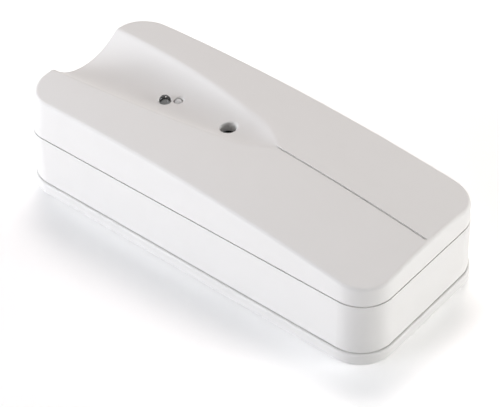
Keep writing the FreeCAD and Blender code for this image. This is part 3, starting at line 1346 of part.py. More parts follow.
def antenna_wire():
    """Wire loop along the board's arm, both ends through the board."""
    body = new_body("antenna_body")
    left, right = ANTENNA_START, ANTENNA_END
    low = f"({BOARD_UNDER} - pin_stub)"
    high = f"({BOARD_TOP} + antenna_rise)"
    spine = sketch_on(body, "antenna_path", "XZ_Plane", out=f"-{ANTENNA_Y}")
    x0, x1, z0, z1, bend = size(left), size(right), size(low), size(high), size("antenna_bend")
    lines = [
        ((x0, z0), (x0, z1 - bend)),
        ((x0 + bend, z1), (x1 - bend, z1)),
        ((x1, z1 - bend), (x1, z0)),
    ]
    for start, stop in lines:
        spine.addGeometry(Part.LineSegment(Vector(*start, 0), Vector(*stop, 0)), False)
    for centre, begin in (((x0 + bend, z1 - bend), 90), ((x1 - bend, z1 - bend), 0)):
        circle = Part.Circle(Vector(*centre, 0), Vector(0, 0, 1), bend)
        spine.addGeometry(Part.ArcOfCircle(circle, math.radians(begin), math.radians(begin + 90)), False)
    for kind, line in (("Vertical", 0), ("Horizontal", 1), ("Vertical", 2)):
        spine.addConstraint(Sketcher.Constraint(kind, line))
    for line, line_end, arc, arc_end in ((0, 2, 3, 2), (1, 1, 3, 1), (1, 2, 4, 2), (2, 1, 4, 1)):
        spine.addConstraint(Sketcher.Constraint("Tangent", line, line_end, arc, arc_end))
    spine.addConstraint(Sketcher.Constraint("Equal", 3, 4))
    measure(spine, "Radius", 3, "bend", "antenna_bend")
    measure(spine, "DistanceX", -1, 1, 0, 1, "left", left)
    measure(spine, "DistanceX", -1, 1, 2, 2, "right", right)
    measure(spine, "DistanceY", -1, 1, 0, 1, "low", low)
    measure(spine, "DistanceY", -1, 1, 2, 2, "other_low", low)
    measure(spine, "DistanceY", -1, 1, 1, 1, "high", high)
    section = sketch_on(body, "antenna_section", "XY_Plane", x=left, y=ANTENNA_Y, out=low)
    draw_circle(section, "0", "0", "antenna_radius")
    wire = body.newObject("PartDesign::AdditivePipe", "antenna_sweep")
    wire.Profile = section
    wire.Spine = spine
    return sub_part(body, "antenna_wire")


parts = [wall_plate(), middle_housing(), front_cover(), circuit_board(), board_screws()]
parts += [battery_cell(), positive_contact(), negative_contact(), negative_spring()]
parts += microphone()
parts += [light_pipe()]
parts += [lamp("alarm_led", LENS_X, "0"), lamp("status_led", SECOND_LENS_X, "second_lens_across")]
parts += [
    chip_package("microcontroller", f"({BOARD_END} + controller_inset)", "0", "controller_size",
                 "controller_size", CONTROLLER_LEGS, "controller_pitch", CONTROLLER_LEGS),
    chip_package("audio_amplifier", "(-amplifier_from_middle)", "(-amplifier_side)", "amplifier_length",
                 "amplifier_width", AMPLIFIER_LEGS, "amplifier_pitch"),
]
parts += [radio_shield(), crystal(), electrolytic_capacitor(), chip_capacitors()]
parts += jumper()
parts += tamper_pair()
parts += [antenna_wire()]
doc.recompute()

# Nothing is written unless every object and every sub-part is sound
for thing in doc.Objects:
    if "Invalid" in thing.State or "Error" in thing.State:
        raise RuntimeError(f"{thing.Label} failed: {thing.getStatusString()}")
for part in parts:
    if part.Shape.isNull() or not part.Shape.isValid():
        raise RuntimeError(f"{part.Label} has no valid shape")

os.makedirs("parts", exist_ok=True)
for part in parts:
    part.Shape.exportStep(f"parts/{part.Label}.step")
    print(part.Label, len(part.Shape.Solids), round(part.Shape.Volume, 1))
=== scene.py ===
import math
from bisect import bisect_right
from collections import namedtuple

import bpy
from mathutils import Matrix, Vector


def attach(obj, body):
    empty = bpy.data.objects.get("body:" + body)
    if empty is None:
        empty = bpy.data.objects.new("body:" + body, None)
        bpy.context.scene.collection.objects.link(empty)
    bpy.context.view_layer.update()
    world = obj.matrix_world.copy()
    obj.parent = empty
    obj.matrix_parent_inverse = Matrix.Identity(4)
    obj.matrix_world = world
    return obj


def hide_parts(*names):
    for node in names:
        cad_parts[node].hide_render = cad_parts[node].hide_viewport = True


# Acoustic glass break sensor: white satin mouldings around a board, a cell and a microphone.
# +X runs to the thin end of the casing, +Z out of the wall. Sizes below are in millimetres.

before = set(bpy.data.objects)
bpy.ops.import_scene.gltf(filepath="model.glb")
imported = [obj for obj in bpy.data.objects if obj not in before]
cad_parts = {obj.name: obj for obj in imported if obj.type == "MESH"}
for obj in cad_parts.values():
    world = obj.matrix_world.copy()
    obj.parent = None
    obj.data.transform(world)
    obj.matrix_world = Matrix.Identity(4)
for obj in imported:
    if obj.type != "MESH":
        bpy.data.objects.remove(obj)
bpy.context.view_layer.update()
MM = 0.001

# The photograph's frame and camera, solved from the casing's seams and outline
IMAGE_WIDTH_PX = 500
SENSOR_WIDTH = 36.0
FOCAL_PX = 1450.62
VIEW_AZIMUTH = 41.073
VIEW_ELEVATION = 40.45
VIEW_ROLL = -1.624
VIEW_DISTANCE = 356.505
VIEW_RIGHT = 1.644
VIEW_UP = -4.758
VIEW_HEIGHT = 12.0

# The studio, in metres
CAMERA_REACH = (0.01, 20.0)
FLOOR_HALF = 6.0
FLOOR_FADES = (0.3, 0.7)
LAMP_DISTANCE = 1.2

# Paper tones. The seen paper is painted darker round a place at the front left, which the lamps light most:
# a painted shadow that deepens the casing's cast shadow there
LIT_PAPER = (0.8, 0.8, 0.8)
PAINTED_SHADOW_TONES = (1.31, 1.6)
PAINTED_SHADOW_MIDDLE = (-0.015, -0.045, 0.0)
PAINTED_SHADOW_REACH = (0.035, 0.08)

# A faint fill for the object, and plain white behind it
FILL_COLOUR = (0.985, 0.99, 1.0)
FILL_STRENGTH = 0.02
BACKDROP_COLOUR = (1.0, 1.0, 1.0)
BACKDROP_STRENGTH = 1.0

# The lamps: bearing and height in degrees, side in metres, power in watts
Lamp = namedtuple("Lamp", "name azimuth elevation side power colour")
LAMPS = [
    Lamp("front", -31.0, 8.0, 0.7, 15.5, (0.965, 0.965, 1.0)),
    Lamp("side", 113.0, 8.0, 0.7, 14.8, (1.0, 0.995, 0.98)),
    Lamp("back", 219.0, 57.0, 0.5, 6.6, (1.0, 0.925, 0.905)),
    Lamp("west", -70.0, 14.0, 0.7, 4.8, (0.9, 0.95, 1.0)),
]


# Help with node trees

def add_node(tree, kind, **settings):
    """A new node of a tree, with its settings."""
    made = tree.nodes.new(kind)
    for name, value in settings.items():
        setattr(made, name, value)
    return made


def feed(tree, socket, value):
    """Gives an input what another node puts out, or a plain value."""
    if isinstance(value, bpy.types.NodeSocket):
        tree.links.new(value, socket)
    else:
        socket.default_value = value


def feed_named(tree, node, values):
    """Feeds several inputs of a node, each found by its name."""
    for name, value in values.items():
        feed(tree, node.inputs[name], value)


def opaque(colour):
    """A colour with full alpha, as the nodes' inputs take it."""
    return (*colour, 1.0)


def mix_shaders(tree, factor, first, second):
    """The first shader, giving way to the second as the factor rises to 1."""
    mix = add_node(tree, "ShaderNodeMixShader")
    for socket, value in zip(mix.inputs, (factor, first, second)):
        feed(tree, socket, value)
    return mix.outputs[0]


def soft_range(tree, value, reach, tones):
    """Eases from the first tone to the second while a value crosses its reach."""
    made = add_node(tree, "ShaderNodeMapRange", interpolation_type="SMOOTHSTEP")
    feed_named(tree, made, {
        "Value": value,
        "From Min": reach[0],
        "From Max": reach[1],
        "To Min": tones[0],
        "To Max": tones[1],
    })
    return made.outputs["Result"]


# Camera, floor and light

def direction(azimuth, elevation):
    """Unit vector towards a place seen from the object, azimuth 0 being the long near side."""
    turn, rise = math.radians(azimuth), math.radians(elevation)
    return Vector((math.sin(turn) * math.cos(rise), -math.cos(turn) * math.cos(rise), math.sin(rise)))


def make_camera():
    """The photograph's own view of the casing."""
    back = direction(VIEW_AZIMUTH, VIEW_ELEVATION)
    turn = math.radians(VIEW_AZIMUTH)
    right = Vector((math.cos(turn), math.sin(turn), 0.0))
    up = back.cross(right)
    target = right * VIEW_RIGHT + up * VIEW_UP + Vector((0.0, 0.0, VIEW_HEIGHT))
    roll = math.radians(VIEW_ROLL)
    rolled_right = right * math.cos(roll) + up * math.sin(roll)
    rolled_up = up * math.cos(roll) - right * math.sin(roll)
    data = bpy.data.cameras.new("view")
    data.sensor_width = SENSOR_WIDTH
    data.lens = FOCAL_PX * SENSOR_WIDTH / IMAGE_WIDTH_PX
    data.clip_start, data.clip_end = CAMERA_REACH
    camera = bpy.data.objects.new("view", data)
    bpy.context.scene.collection.objects.link(camera)
    turned = Matrix((rolled_right, rolled_up, back)).transposed().to_4x4()
    camera.matrix_world = Matrix.Translation((target + back * VIEW_DISTANCE) * MM) @ turned
    bpy.context.scene.camera = camera


def hang_lamp(lamp):
    """A soft square lamp that looks at the casing's middle."""
    data = bpy.data.lights.new(lamp.name, "AREA")
    data.shape = "SQUARE"
    data.size = lamp.side
    data.energy = lamp.power
    data.color = lamp.colour
    hung = bpy.data.objects.new(lamp.name, data)
    away = direction(lamp.azimuth, lamp.elevation)
    hung.location = Vector((0.0, 0.0, VIEW_HEIGHT * MM)) + away * LAMP_DISTANCE
    hung.rotation_mode = "QUATERNION"
    hung.rotation_quaternion = (-away).to_track_quat("-Z", "Y")
    bpy.context.scene.collection.objects.link(hung)


def backdrop_mix(tree, lit, seen):
    """Chooses what the camera, mirrors and glass see over what lights the object."""
    path = add_node(tree, "ShaderNodeLightPath")
    ray = path.outputs["Is Camera Ray"]
    for name in ("Is Glossy Ray", "Is Transmission Ray"):
        either = add_node(tree, "ShaderNodeMath", operation="MAXIMUM")
        feed(tree, either.inputs[0], ray)
        feed(tree, either.inputs[1], path.outputs[name])
        ray = either.outputs[0]
    return mix_shaders(tree, ray, lit, seen)


def make_world():
    """The fill that reaches the object and the white that stands behind it."""
    world = bpy.data.worlds.new("studio")
    world.use_nodes = True
    tree = world.node_tree
    tree.nodes.clear()
    fill = add_node(tree, "ShaderNodeBackground")
    feed_named(tree, fill, {"Color": opaque(FILL_COLOUR), "Strength": FILL_STRENGTH})
    white = add_node(tree, "ShaderNodeBackground")
    feed_named(tree, white, {"Color": opaque(BACKDROP_COLOUR), "Strength": BACKDROP_STRENGTH})
    out = add_node(tree, "ShaderNodeOutputWorld")
    feed(tree, out.inputs["Surface"], backdrop_mix(tree, fill.outputs[0], white.outputs[0]))
    bpy.context.scene.world = world


def seen_paper(tree):
    """The floor as the camera sees it: painted darker round one place at the front left as a painted shadow,
    and fading to white far off.
    """
    place = add_node(tree, "ShaderNodeTexCoord").outputs["Object"]
    from_painted_shadow = add_node(tree, "ShaderNodeVectorMath", operation="DISTANCE")
    feed(tree, from_painted_shadow.inputs[0], place)
    feed(tree, from_painted_shadow.inputs[1], PAINTED_SHADOW_MIDDLE)
    from_middle = add_node(tree, "ShaderNodeVectorMath", operation="LENGTH")
    feed(tree, from_middle.inputs[0], place)
    # Painted shadow: the paper's tone is lowest at one place at the front left and rises away from it
    tone = soft_range(tree, from_painted_shadow.outputs["Value"], PAINTED_SHADOW_REACH, PAINTED_SHADOW_TONES)
    fade = soft_range(tree, from_middle.outputs["Value"], FLOOR_FADES, (0.0, 1.0))
    paper = add_node(tree, "ShaderNodeBsdfDiffuse")
    feed(tree, paper.inputs["Color"], tone)
    white = add_node(tree, "ShaderNodeEmission")
    return mix_shaders(tree, fade, paper.outputs[0], white.outputs[0])


def make_floor():
    """A pale floor that reads as white to the camera and keeps the casing's soft shadow."""
    mesh = bpy.data.meshes.new("floor")
    corners = [(x * FLOOR_HALF, y * FLOOR_HALF, 0.0) for x, y in ((-1, -1), (1, -1), (1, 1), (-1, 1))]
    mesh.from_pydata(corners, [], [(0, 1, 2, 3)])
    floor = bpy.data.objects.new("floor", mesh)
    bpy.context.scene.collection.objects.link(floor)
    material = bpy.data.materials.new("floor_paper")
    material.use_nodes = True
    tree = material.node_tree
    tree.nodes.clear()
    lit_paper = add_node(tree, "ShaderNodeBsdfDiffuse")
    feed(tree, lit_paper.inputs["Color"], opaque(LIT_PAPER))
    out = add_node(tree, "ShaderNodeOutputMaterial")
    feed(tree, out.inputs["Surface"], backdrop_mix(tree, lit_paper.outputs[0], seen_paper(tree)))
    mesh.materials.append(material)


# Finishes

COMMON_IOR = 1.46
PLASTIC_IOR = 1.5
ACRYLIC_IOR = 1.49
METAL = 1.0

# How a grain is drawn out, and how large the blotches of a plain finish are
EVEN = (1.0, 1.0, 1.0)
GRAIN_ALONG_X = (1.0, 6.0, 1.0)
GRAIN_ALONG_Y = (6.0, 1.0, 1.0)
MOTTLE_SIZE = 3.0

# The mouldings' white, and how far a clear tint dips in places
WHITE = (0.855, 0.85, 0.84)
WHITE_SHADE = (0.835, 0.828, 0.815)
ACRYLIC_DIP = 0.94

# The board's lacquer, and the tracks that show through it
BOARD_GREEN = (0.012, 0.11, 0.045)
BOARD_GREEN_PALE = (0.014, 0.125, 0.05)
BOARD_GREEN_DARK = (0.012, 0.1, 0.04)
TRACK_GREEN = (0.035, 0.2, 0.075)
TRACK_PITCH = 4.0
TRACK_SHARE = 0.06


class Finish:
    """A surface finish: one principled shader and the nodes that vary it."""

    def __init__(self, name, metallic=0.0, transmission=0.0, ior=COMMON_IOR, coat=0.0):
        self.material = bpy.data.materials.new(name)
        self.material.use_nodes = True
        self.tree = self.material.node_tree
        self.shader = self.tree.nodes["Principled BSDF"]
        self.set("Metallic", metallic)
        self.set("Transmission Weight", transmission)
        self.set("IOR", ior)
        self.set("Coat Weight", coat)
        self.place = add_node(self.tree, "ShaderNodeTexCoord").outputs["Object"]

    def set(self, name, value):
        """Feeds one input of the shader."""
        feed(self.tree, self.shader.inputs[name], value)

    def noise(self, size, detail=2.0, stretch=EVEN):
        """Noise whose blotches are about this many millimetres across."""
        mapping = add_node(self.tree, "ShaderNodeMapping")
        feed_named(self.tree, mapping, {"Vector": self.place, "Scale": stretch})
        made = add_node(self.tree, "ShaderNodeTexNoise")
        values = {"Vector": mapping.outputs["Vector"], "Scale": 1.0 / (size * MM), "Detail": detail}
        feed_named(self.tree, made, values)
        return made.outputs["Fac"]

    def between(self, factor, low, high):
        """A factor from 0 to 1 spread between two values."""
        made = add_node(self.tree, "ShaderNodeMapRange")
        feed_named(self.tree, made, {"Value": factor, "To Min": low, "To Max": high})
        return made.outputs["Result"]

    def blend(self, factor, first, second):
        """Two colours, or a pattern and a colour, mixed by a factor."""
        made = add_node(self.tree, "ShaderNodeMix", data_type="RGBA")
        feed(self.tree, made.inputs["Factor"], factor)
        for name, value in (("A", first), ("B", second)):
            socket = next(s for s in made.inputs if s.name == name and s.type == "RGBA")
            feed(self.tree, socket, opaque(value) if isinstance(value, tuple) else value)
        return next(s for s in made.outputs if s.type == "RGBA")

    def bump(self, height, depth):
        """Relief of this many millimetres from a height between 0 and 1."""
        made = add_node(self.tree, "ShaderNodeBump")
        feed_named(self.tree, made, {"Height": height, "Distance": depth * MM})
        self.set("Normal", made.outputs["Normal"])


def satin_plastic(name):
    """White moulded plastic: spark-eroded grain and the faint flow marks of a moulding."""
    finish = Finish(name, ior=PLASTIC_IOR)
    finish.set("Base Color", finish.blend(finish.noise(size=9.0, detail=3.0), WHITE, WHITE_SHADE))
    finish.set("Roughness", finish.between(finish.noise(size=2.5, detail=4.0), low=0.56, high=0.68))
    finish.bump(finish.noise(size=0.22), depth=0.006)
    return finish.material


def plain(name, first, second, gloss, grain, depth, metallic=0.0, stretch=EVEN):
    """A plain material with mottled colour, uneven gloss and its own grain."""
    finish = Finish(name, metallic=metallic)
    mottle = finish.noise(MOTTLE_SIZE, detail=3.0, stretch=stretch)
    finish.set("Base Color", finish.blend(mottle, first, second))
    unevenness = finish.noise(MOTTLE_SIZE / 2, detail=4.0, stretch=stretch)
    finish.set("Roughness", finish.between(unevenness, *gloss))
    finish.bump(finish.noise(grain, stretch=stretch), depth)
    return finish.material


def clear_acrylic(name, tint):
    """Clear polished plastic or glass, with a faint unevenness of its tint and polish."""
    finish = Finish(name, transmission=1.0, ior=ACRYLIC_IOR)
    dipped = tuple(part * ACRYLIC_DIP for part in tint)
    finish.set("Base Color", finish.blend(finish.noise(size=1.5), tint, dipped))
    finish.set("Roughness", finish.between(finish.noise(size=0.8), low=0.02, high=0.07))
    return finish.material


def frosted_acrylic(name, pale, shade):
    """Clear plastic whose blasted face scatters the light."""
    finish = Finish(name, transmission=0.1, ior=ACRYLIC_IOR)
    finish.set("Base Color", finish.blend(finish.noise(size=0.5), pale, shade))
    finish.set("Roughness", finish.between(finish.noise(size=0.3), low=0.4, high=0.55))
    finish.bump(finish.noise(size=0.08), depth=0.004)
    return finish.material


def circuit_mask(name):
    """Green lacquer over copper tracks."""
    finish = Finish(name, coat=0.3)
    tracks = add_node(finish.tree, "ShaderNodeTexBrick", offset=0.5, squash=0.6)
    feed_named(finish.tree, tracks, {
        "Vector": finish.place,
        "Scale": 1.0 / (TRACK_PITCH * MM),
        "Mortar Size": TRACK_SHARE,
        "Color1": opaque(BOARD_GREEN),
        "Color2": opaque(BOARD_GREEN_PALE),
        "Mortar": opaque(TRACK_GREEN),
    })
    finish.set("Base Color", finish.blend(finish.noise(size=6.0), tracks.outputs["Color"], BOARD_GREEN_DARK))
    finish.set("Roughness", finish.between(finish.noise(size=1.0), low=0.22, high=0.34))
    finish.bump(tracks.outputs["Fac"], depth=0.03)
    return finish.material


# Plain finishes: two colours, roughness from and to, size and depth of the grain, and then for metals
# that they are metal and which way their grain runs
PLAIN_FINISHES = {
    "steel": ((0.55, 0.56, 0.57), (0.42, 0.43, 0.44), (0.22, 0.4), 0.1, 0.004, METAL, GRAIN_ALONG_X),
    "nickel": ((0.72, 0.7, 0.66), (0.6, 0.58, 0.54), (0.18, 0.34), 0.1, 0.003, METAL, GRAIN_ALONG_Y),
    "copper": ((0.78, 0.42, 0.26), (0.66, 0.33, 0.2), (0.25, 0.4), 0.2, 0.003, METAL),
    "cell_sleeve": ((0.02, 0.09, 0.24), (0.025, 0.11, 0.28), (0.24, 0.36), 0.6, 0.006),
    "rubber": ((0.018, 0.018, 0.019), (0.028, 0.028, 0.03), (0.62, 0.8), 0.3, 0.02),
    "black_cloth": ((0.006, 0.006, 0.007), (0.012, 0.012, 0.013), (0.6, 0.85), 0.25, 0.05),
    "chip_black": ((0.016, 0.016, 0.018), (0.024, 0.024, 0.026), (0.48, 0.62), 0.12, 0.008),
    "ceramic": ((0.42, 0.29, 0.18), (0.36, 0.24, 0.15), (0.4, 0.55), 0.15, 0.006),
    "lamp_epoxy": ((0.82, 0.8, 0.74), (0.78, 0.75, 0.66), (0.2, 0.32), 0.4, 0.004),
    "ferrite": ((0.05, 0.048, 0.047), (0.075, 0.072, 0.07), (0.5, 0.7), 0.2, 0.02),
    "can_sleeve": ((0.05, 0.055, 0.06), (0.07, 0.075, 0.082), (0.28, 0.4), 0.5, 0.006),
}
FINISHES = {name: satin_plastic(name) for name in ("cover_plastic", "housing_plastic", "plate_plastic")}
FINISHES |= {name: plain(name, *values) for name, values in PLAIN_FINISHES.items()}
FINISHES |= {
    "clear_acrylic": clear_acrylic("clear_acrylic", (0.93, 0.94, 0.95)),
    "reed_glass": clear_acrylic("reed_glass", (0.8, 0.92, 0.84)),
    "frosted_acrylic": frosted_acrylic("frosted_acrylic", (0.9, 0.9, 0.9), (0.84, 0.84, 0.85)),
    "circuit_mask": circuit_mask("circuit_mask"),
}
NODE_FINISHES = {
    "wall_plate": "plate_plastic",
    "middle_housing": "housing_plastic",
    "circuit_board": "circuit_mask",
    "board_screws": "steel",
    "battery_cell": "cell_sleeve",
    "positive_contact": "nickel",
    "negative_contact": "nickel",
    "negative_spring": "nickel",
    "microphone_capsule": "nickel",
    "microphone_boot": "rubber",
    "microphone_leads": "copper",
    "alarm_led": "lamp_epoxy",
    "status_led": "lamp_epoxy",
    "microcontroller": "chip_black",
    "audio_amplifier": "chip_black",
    "radio_shield": "nickel",
    "crystal": "nickel",
    "electrolytic_capacitor": "can_sleeve",
    "chip_capacitors": "ceramic",
    "jumper_header": "chip_black",
    "jumper_cap": "chip_black",
    "tamper_reed_switch": "reed_glass",
    "tamper_magnet": "ferrite",
    "antenna_wire": "copper",
}
SMOOTH_BELOW = math.radians(32.0)
WELD_REACH = 0.0005
BROKEN_EDGE = 0.15
BROKEN_EDGE_STEPS = 2


def dress(node, finish):
    """Gives a node of the frame its finish and smooth, lightly broken edges."""
    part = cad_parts[node]
    part.data.materials.clear()
    part.data.materials.append(FINISHES[finish])
    weld = part.modifiers.new("one_skin", "WELD")
    weld.merge_threshold = WELD_REACH * MM
    bevel = part.modifiers.new("broken_edges", "BEVEL")
    bevel.width = BROKEN_EDGE * MM
    bevel.segments = BROKEN_EDGE_STEPS
    bevel.limit_method = "ANGLE"
    bevel.angle_limit = SMOOTH_BELOW
    bevel.use_clamp_overlap = True


def finish_piece(piece, finish):
    """Material, smooth faces with sharp edges kept, and even shading over uneven faces."""
    piece.data.materials.clear()
    piece.data.materials.append(FINISHES[finish])
    piece.data.shade_smooth()
    piece.data.set_sharp_from_angle(angle=SMOOTH_BELOW)
    shading = piece.modifiers.new("even_shading", "WEIGHTED_NORMAL")
    shading.keep_sharp = True


# The front cover, modelled as one smooth moulding

WALL = 2.0
HALF_LENGTH = 55.0
HALF_WIDTH = 22.6
CORNER = 8.5
DRAFT_DEGREES = 2.0
LEAN = math.tan(math.radians(DRAFT_DEGREES))
UPPER_SEAM = 17.4
SEAM_GAP = 0.3
COVER_HEIGHT = 11.7
CROWN_RISE = 2.05
CREST_X = -34.8
SLOPE_RADIUS = 546.0
END_RAKE = 1.9
EDGE_ROUND = 1.0
TONGUE_RISE = 1.2
TONGUE_TOP = UPPER_SEAM + TONGUE_RISE
REBATE = 1.0
FOOT_ROUND = 0.2
FOOT_TURNS = (30.0, 60.0, 90.0)
CROWN_RADIUS = (HALF_WIDTH ** 2 + CROWN_RISE ** 2) / (2 * CROWN_RISE)
RIDGE = UPPER_SEAM + COVER_HEIGHT + CROWN_RISE
COVER_FOOT = UPPER_SEAM + SEAM_GAP / 2
STRAIGHT_X = HALF_LENGTH - CORNER
STRAIGHT_Y = HALF_WIDTH - CORNER

# The first lens and the port, and how high the scoop's floor is there above the seam
LENS_X = -24.8
LENS_RISE = 8.75
PORT_X = -4.15
PORT_RISE = 10.2

# The scoop's sections: place along the casing, half width, floor above the seam
SCOOP_SECTIONS = [
    (-60.0, 11.6, 6.8),
    (-41.0, 11.0, 7.95),
    (LENS_X, 9.6, LENS_RISE),
    (PORT_X, 6.4, PORT_RISE),
    (4.4, 4.3, 10.9),
]
TIP_X = 10.9
TIP_RADIUS = 0.8

# How softly the scoop's crease is melted: at the open end, further in, and in the room beneath. The
# first gives way to the second over the mouth
END_MELT = 1.0
SCOOP_MELT = 0.8
ROOM_MELT = 0.3
MOUTH_X = (-56.0, -40.0)

# The fine groove along the front
LINE_HALF = 0.25
LINE_DEPTH = 0.4
LINE_END = 53.8
LINE_SHOULDER = 0.08
LINE_RUN_OUT = 0.3
LINE_STRIP = 0.4

# How finely the cover's mesh is divided, and how often its meeting lines are refined
CORNER_STEPS = 15
SIDE_STEPS = 124
SHOULDER_STEPS = 16
SHOULDER_CROWDING = 1.6
SCOOP_STEPS = 36
EDGE_STEPS = 8
WALL_RINGS = 5
CREASE_ROUNDS = 12
RIM_ROUNDS = 8
TURNED_STEPS = 64
PORT_STEPS = 96

# Edges of the cover's mesh: a wall that turns about 78 degrees into the front
EDGE_TURN = math.radians(78.0)
EDGE_REACH = EDGE_ROUND * math.tan(EDGE_TURN / 2)
EDGE_WEIGHT = math.cos(EDGE_TURN / 2)

# The cover's openings, cut from well under the roof up to the sky. The lip's steps go out and up from
# the port's edge, and a lens is given by its place and radius
SKY = 33.0
BORES_FROM = 22.0
PORT_RADIUS = 2.1
PORT_FLOOR = UPPER_SEAM + PORT_RISE
PORT_LIP = [(0.0, -0.3), (0.03, -0.14), (0.12, 0.0), (0.26, 0.12), (0.5, 0.3), (1.3, 1.6)]
LENSES = [(LENS_X, 0.0, 1.5), (-21.95, 1.75, 1.1)]
LENS_CLEARANCE = 0.1
LENS_BEVEL = 0.12
LENS_FLARE = 1.0
LENS_FLOOR = UPPER_SEAM + LENS_RISE

# What stands on the cover's underside: the microphone's collar, a pad round the lenses, the cell's ribs
PORT_ROOF = 2.6
PORT_PAD = PORT_FLOOR - PORT_ROOF
COLLAR_X = -3.4
COLLAR_BORE = 6.3
COLLAR_OUTER = 7.5
COLLAR_HEIGHT = 4.0
COLLAR_FOOT = PORT_PAD - COLLAR_HEIGHT
LENS_ROOF = 2.3
LENS_PAD = LENS_FLOOR - LENS_ROOF
LENS_PAD_BOX = ((-28.8, -4.0), (-16.5, 5.35))
CELL_Y = -8.9
CELL_Z = 14.3
CELL_HUG = 8.45
CELL_RIB_HALF = 7.9
CELL_RIB_THICKNESS = 1.6
CELL_RIB_X = (17.4, 36.1)
RIB_STEPS = 24

# The latches: their places, width, and profile across and up
LATCH_X = (-20.0, 25.0)
LATCH_LENGTH = 6.0
LATCH_PROFILE = [
    (19.25, 12.1), (20.45, 12.1), (21.15, 14.1), (20.45, 14.1),
    (20.45, 18.65), (21.6, 18.65), (21.6, 23.0), (19.25, 23.0),
]

Station = namedtuple("Station", "x y out_x out_y")


def crown_height(x, y, inset=0.0):
    """Height of the crowned and sloping front, before the scoop is taken out of it."""
    across = SLOPE_RADIUS - CROWN_RADIUS + math.sqrt((CROWN_RADIUS - inset) ** 2 - y ** 2)
    return RIDGE - SLOPE_RADIUS + math.sqrt(across ** 2 - (x - CREST_X) ** 2)


def scoop_stations():
    """Floor height and section radius of the scoop at each of its sections."""
    stations = []
    for x, half, floor in SCOOP_SECTIONS:
        depth = crown_height(x, half) - UPPER_SEAM - floor
        stations.append((x, UPPER_SEAM + floor, (half ** 2 + depth ** 2) / (2 * depth)))
    stations.append((TIP_X, crown_height(TIP_X, 0.0), TIP_RADIUS))
    return stations


def smooth_curve(places, values):
    """A smooth curve through values at uneven places, as a function of the place."""
    runs = [b - a for a, b in zip(places, places[1:])]
    rises = [(b - a) / run for a, b, run in zip(values, values[1:], runs)]
    slopes = [rises[0]]
    for before, after, first, second in zip(runs, runs[1:], rises, rises[1:]):
        slopes.append((after * first + before * second) / (before + after))
    slopes.append(rises[-1])

    def curve(place):
        index = max(0, min(bisect_right(places, place) - 1, len(runs) - 1))
        run = runs[index]
        t = min(max((place - places[index]) / run, 0.0), 1.0)
        start, stop = values[index], values[index + 1]
        bend = start * (1 + 2 * t) * (1 - t) ** 2 + stop * t ** 2 * (3 - 2 * t)
        return bend + run * (slopes[index] * t * (1 - t) ** 2 - slopes[index + 1] * t ** 2 * (1 - t))

    return curve


SCOOP_X, SCOOP_FLOORS, SCOOP_RADII = zip(*scoop_stations())
scoop_floor = smooth_curve(SCOOP_X, SCOOP_FLOORS)
scoop_radius = smooth_curve(SCOOP_X, SCOOP_RADII)


def ramp(value, start, stop):
    """A smooth step from 0 to 1 between two values."""
    t = min(max((value - start) / (stop - start), 0.0), 1.0)
    return t * t * (3 - 2 * t)


def scoop_height(x, y, inset=0.0):
    """Height of the scoop's round section, or the ridge beyond its tip."""
    if x > TIP_X:
        return RIDGE
    radius = scoop_radius(x)
    return scoop_floor(x) + radius - math.sqrt(max((radius + inset) ** 2 - y ** 2, 0.0))


def crease(x, inset=0.0):
    """Half width of the scoop where it meets the crown."""
    if x > TIP_X:
        return LINE_STRIP
    reach = scoop_radius(x) + inset
    centre = scoop_floor(x) + scoop_radius(x)
    half = 0.0
    for _ in range(CREASE_ROUNDS):
        half = math.sqrt(max(reach ** 2 - (centre - crown_height(x, half, inset)) ** 2, 0.0))
    return max(half, LINE_STRIP)


def line_depth(x, y):
    """Depth of the fine groove, with soft shoulders and ends."""
    across = 1.0 - ramp(abs(y), LINE_HALF - LINE_SHOULDER, LINE_HALF + LINE_SHOULDER)
    along = ramp(x, TIP_X - LINE_RUN_OUT, TIP_X + LINE_RUN_OUT)
    return LINE_DEPTH * across * along * (1.0 - ramp(x, LINE_END - LINE_RUN_OUT, LINE_END))


def front_height(x, y, inset=0.0):
    """Height of the front, or of the room under it, with the crease of the scoop melted soft."""
    crown, scoop = crown_height(x, y, inset), scoop_height(x, y, inset)
    melt = ROOM_MELT if inset else END_MELT + (SCOOP_MELT - END_MELT) * ramp(x, *MOUTH_X)
    near = max(melt - abs(crown - scoop), 0.0)
    height = min(crown, scoop) - near ** 2 / (4 * melt)
    return height if inset else height - line_depth(x, y)


def on_wall(station, height, inset=0.0):
    """Point of the drafted and raked casing wall, set in by the inset."""
    rise = height - UPPER_SEAM
    reach = CORNER - rise * LEAN - inset
    share = (STRAIGHT_X - station.x) / (2 * STRAIGHT_X)
    x = station.x + station.out_x * reach + share * END_RAKE * rise / COVER_HEIGHT
    return x, station.y + station.out_y * reach, height


def rim(station, inset=0.0):
    """Where the wall would meet the front in a sharp edge."""
    height = RIDGE
    for _ in range(RIM_ROUNDS):
        x, y, _ = on_wall(station, height, inset)
        height = front_height(x, y, inset)
    return x, y, height


def plan_columns():
    """Near side of each column of the front: its anchor along the casing and the way out."""
    columns = []
    for step in range(CORNER_STEPS, 0, -1):
        turn = math.pi / 2 * step / CORNER_STEPS
        columns.append(Station(-STRAIGHT_X, -STRAIGHT_Y, -math.sin(turn), -math.cos(turn)))
    for step in range(SIDE_STEPS + 1):
        columns.append(Station(STRAIGHT_X * (2 * step / SIDE_STEPS - 1), -STRAIGHT_Y, 0.0, -1.0))
    for step in range(1, CORNER_STEPS + 1):
        turn = math.pi / 2 * step / CORNER_STEPS
        columns.append(Station(STRAIGHT_X, -STRAIGHT_Y, math.sin(turn), -math.cos(turn)))
    return columns


def rows_across(edge, half):
    """Places across the front from rim to rim, closer together by the scoop's two creases."""
    shoulder = []
    for step in range(SHOULDER_STEPS):
        shoulder.append(half + (edge - half) * (1 - step / SHOULDER_STEPS) ** SHOULDER_CROWDING)
    middle = [half * math.cos(math.pi * step / SCOOP_STEPS) for step in range(SCOOP_STEPS + 1)]
    return [-y for y in shoulder] + [-y for y in middle] + shoulder[::-1]


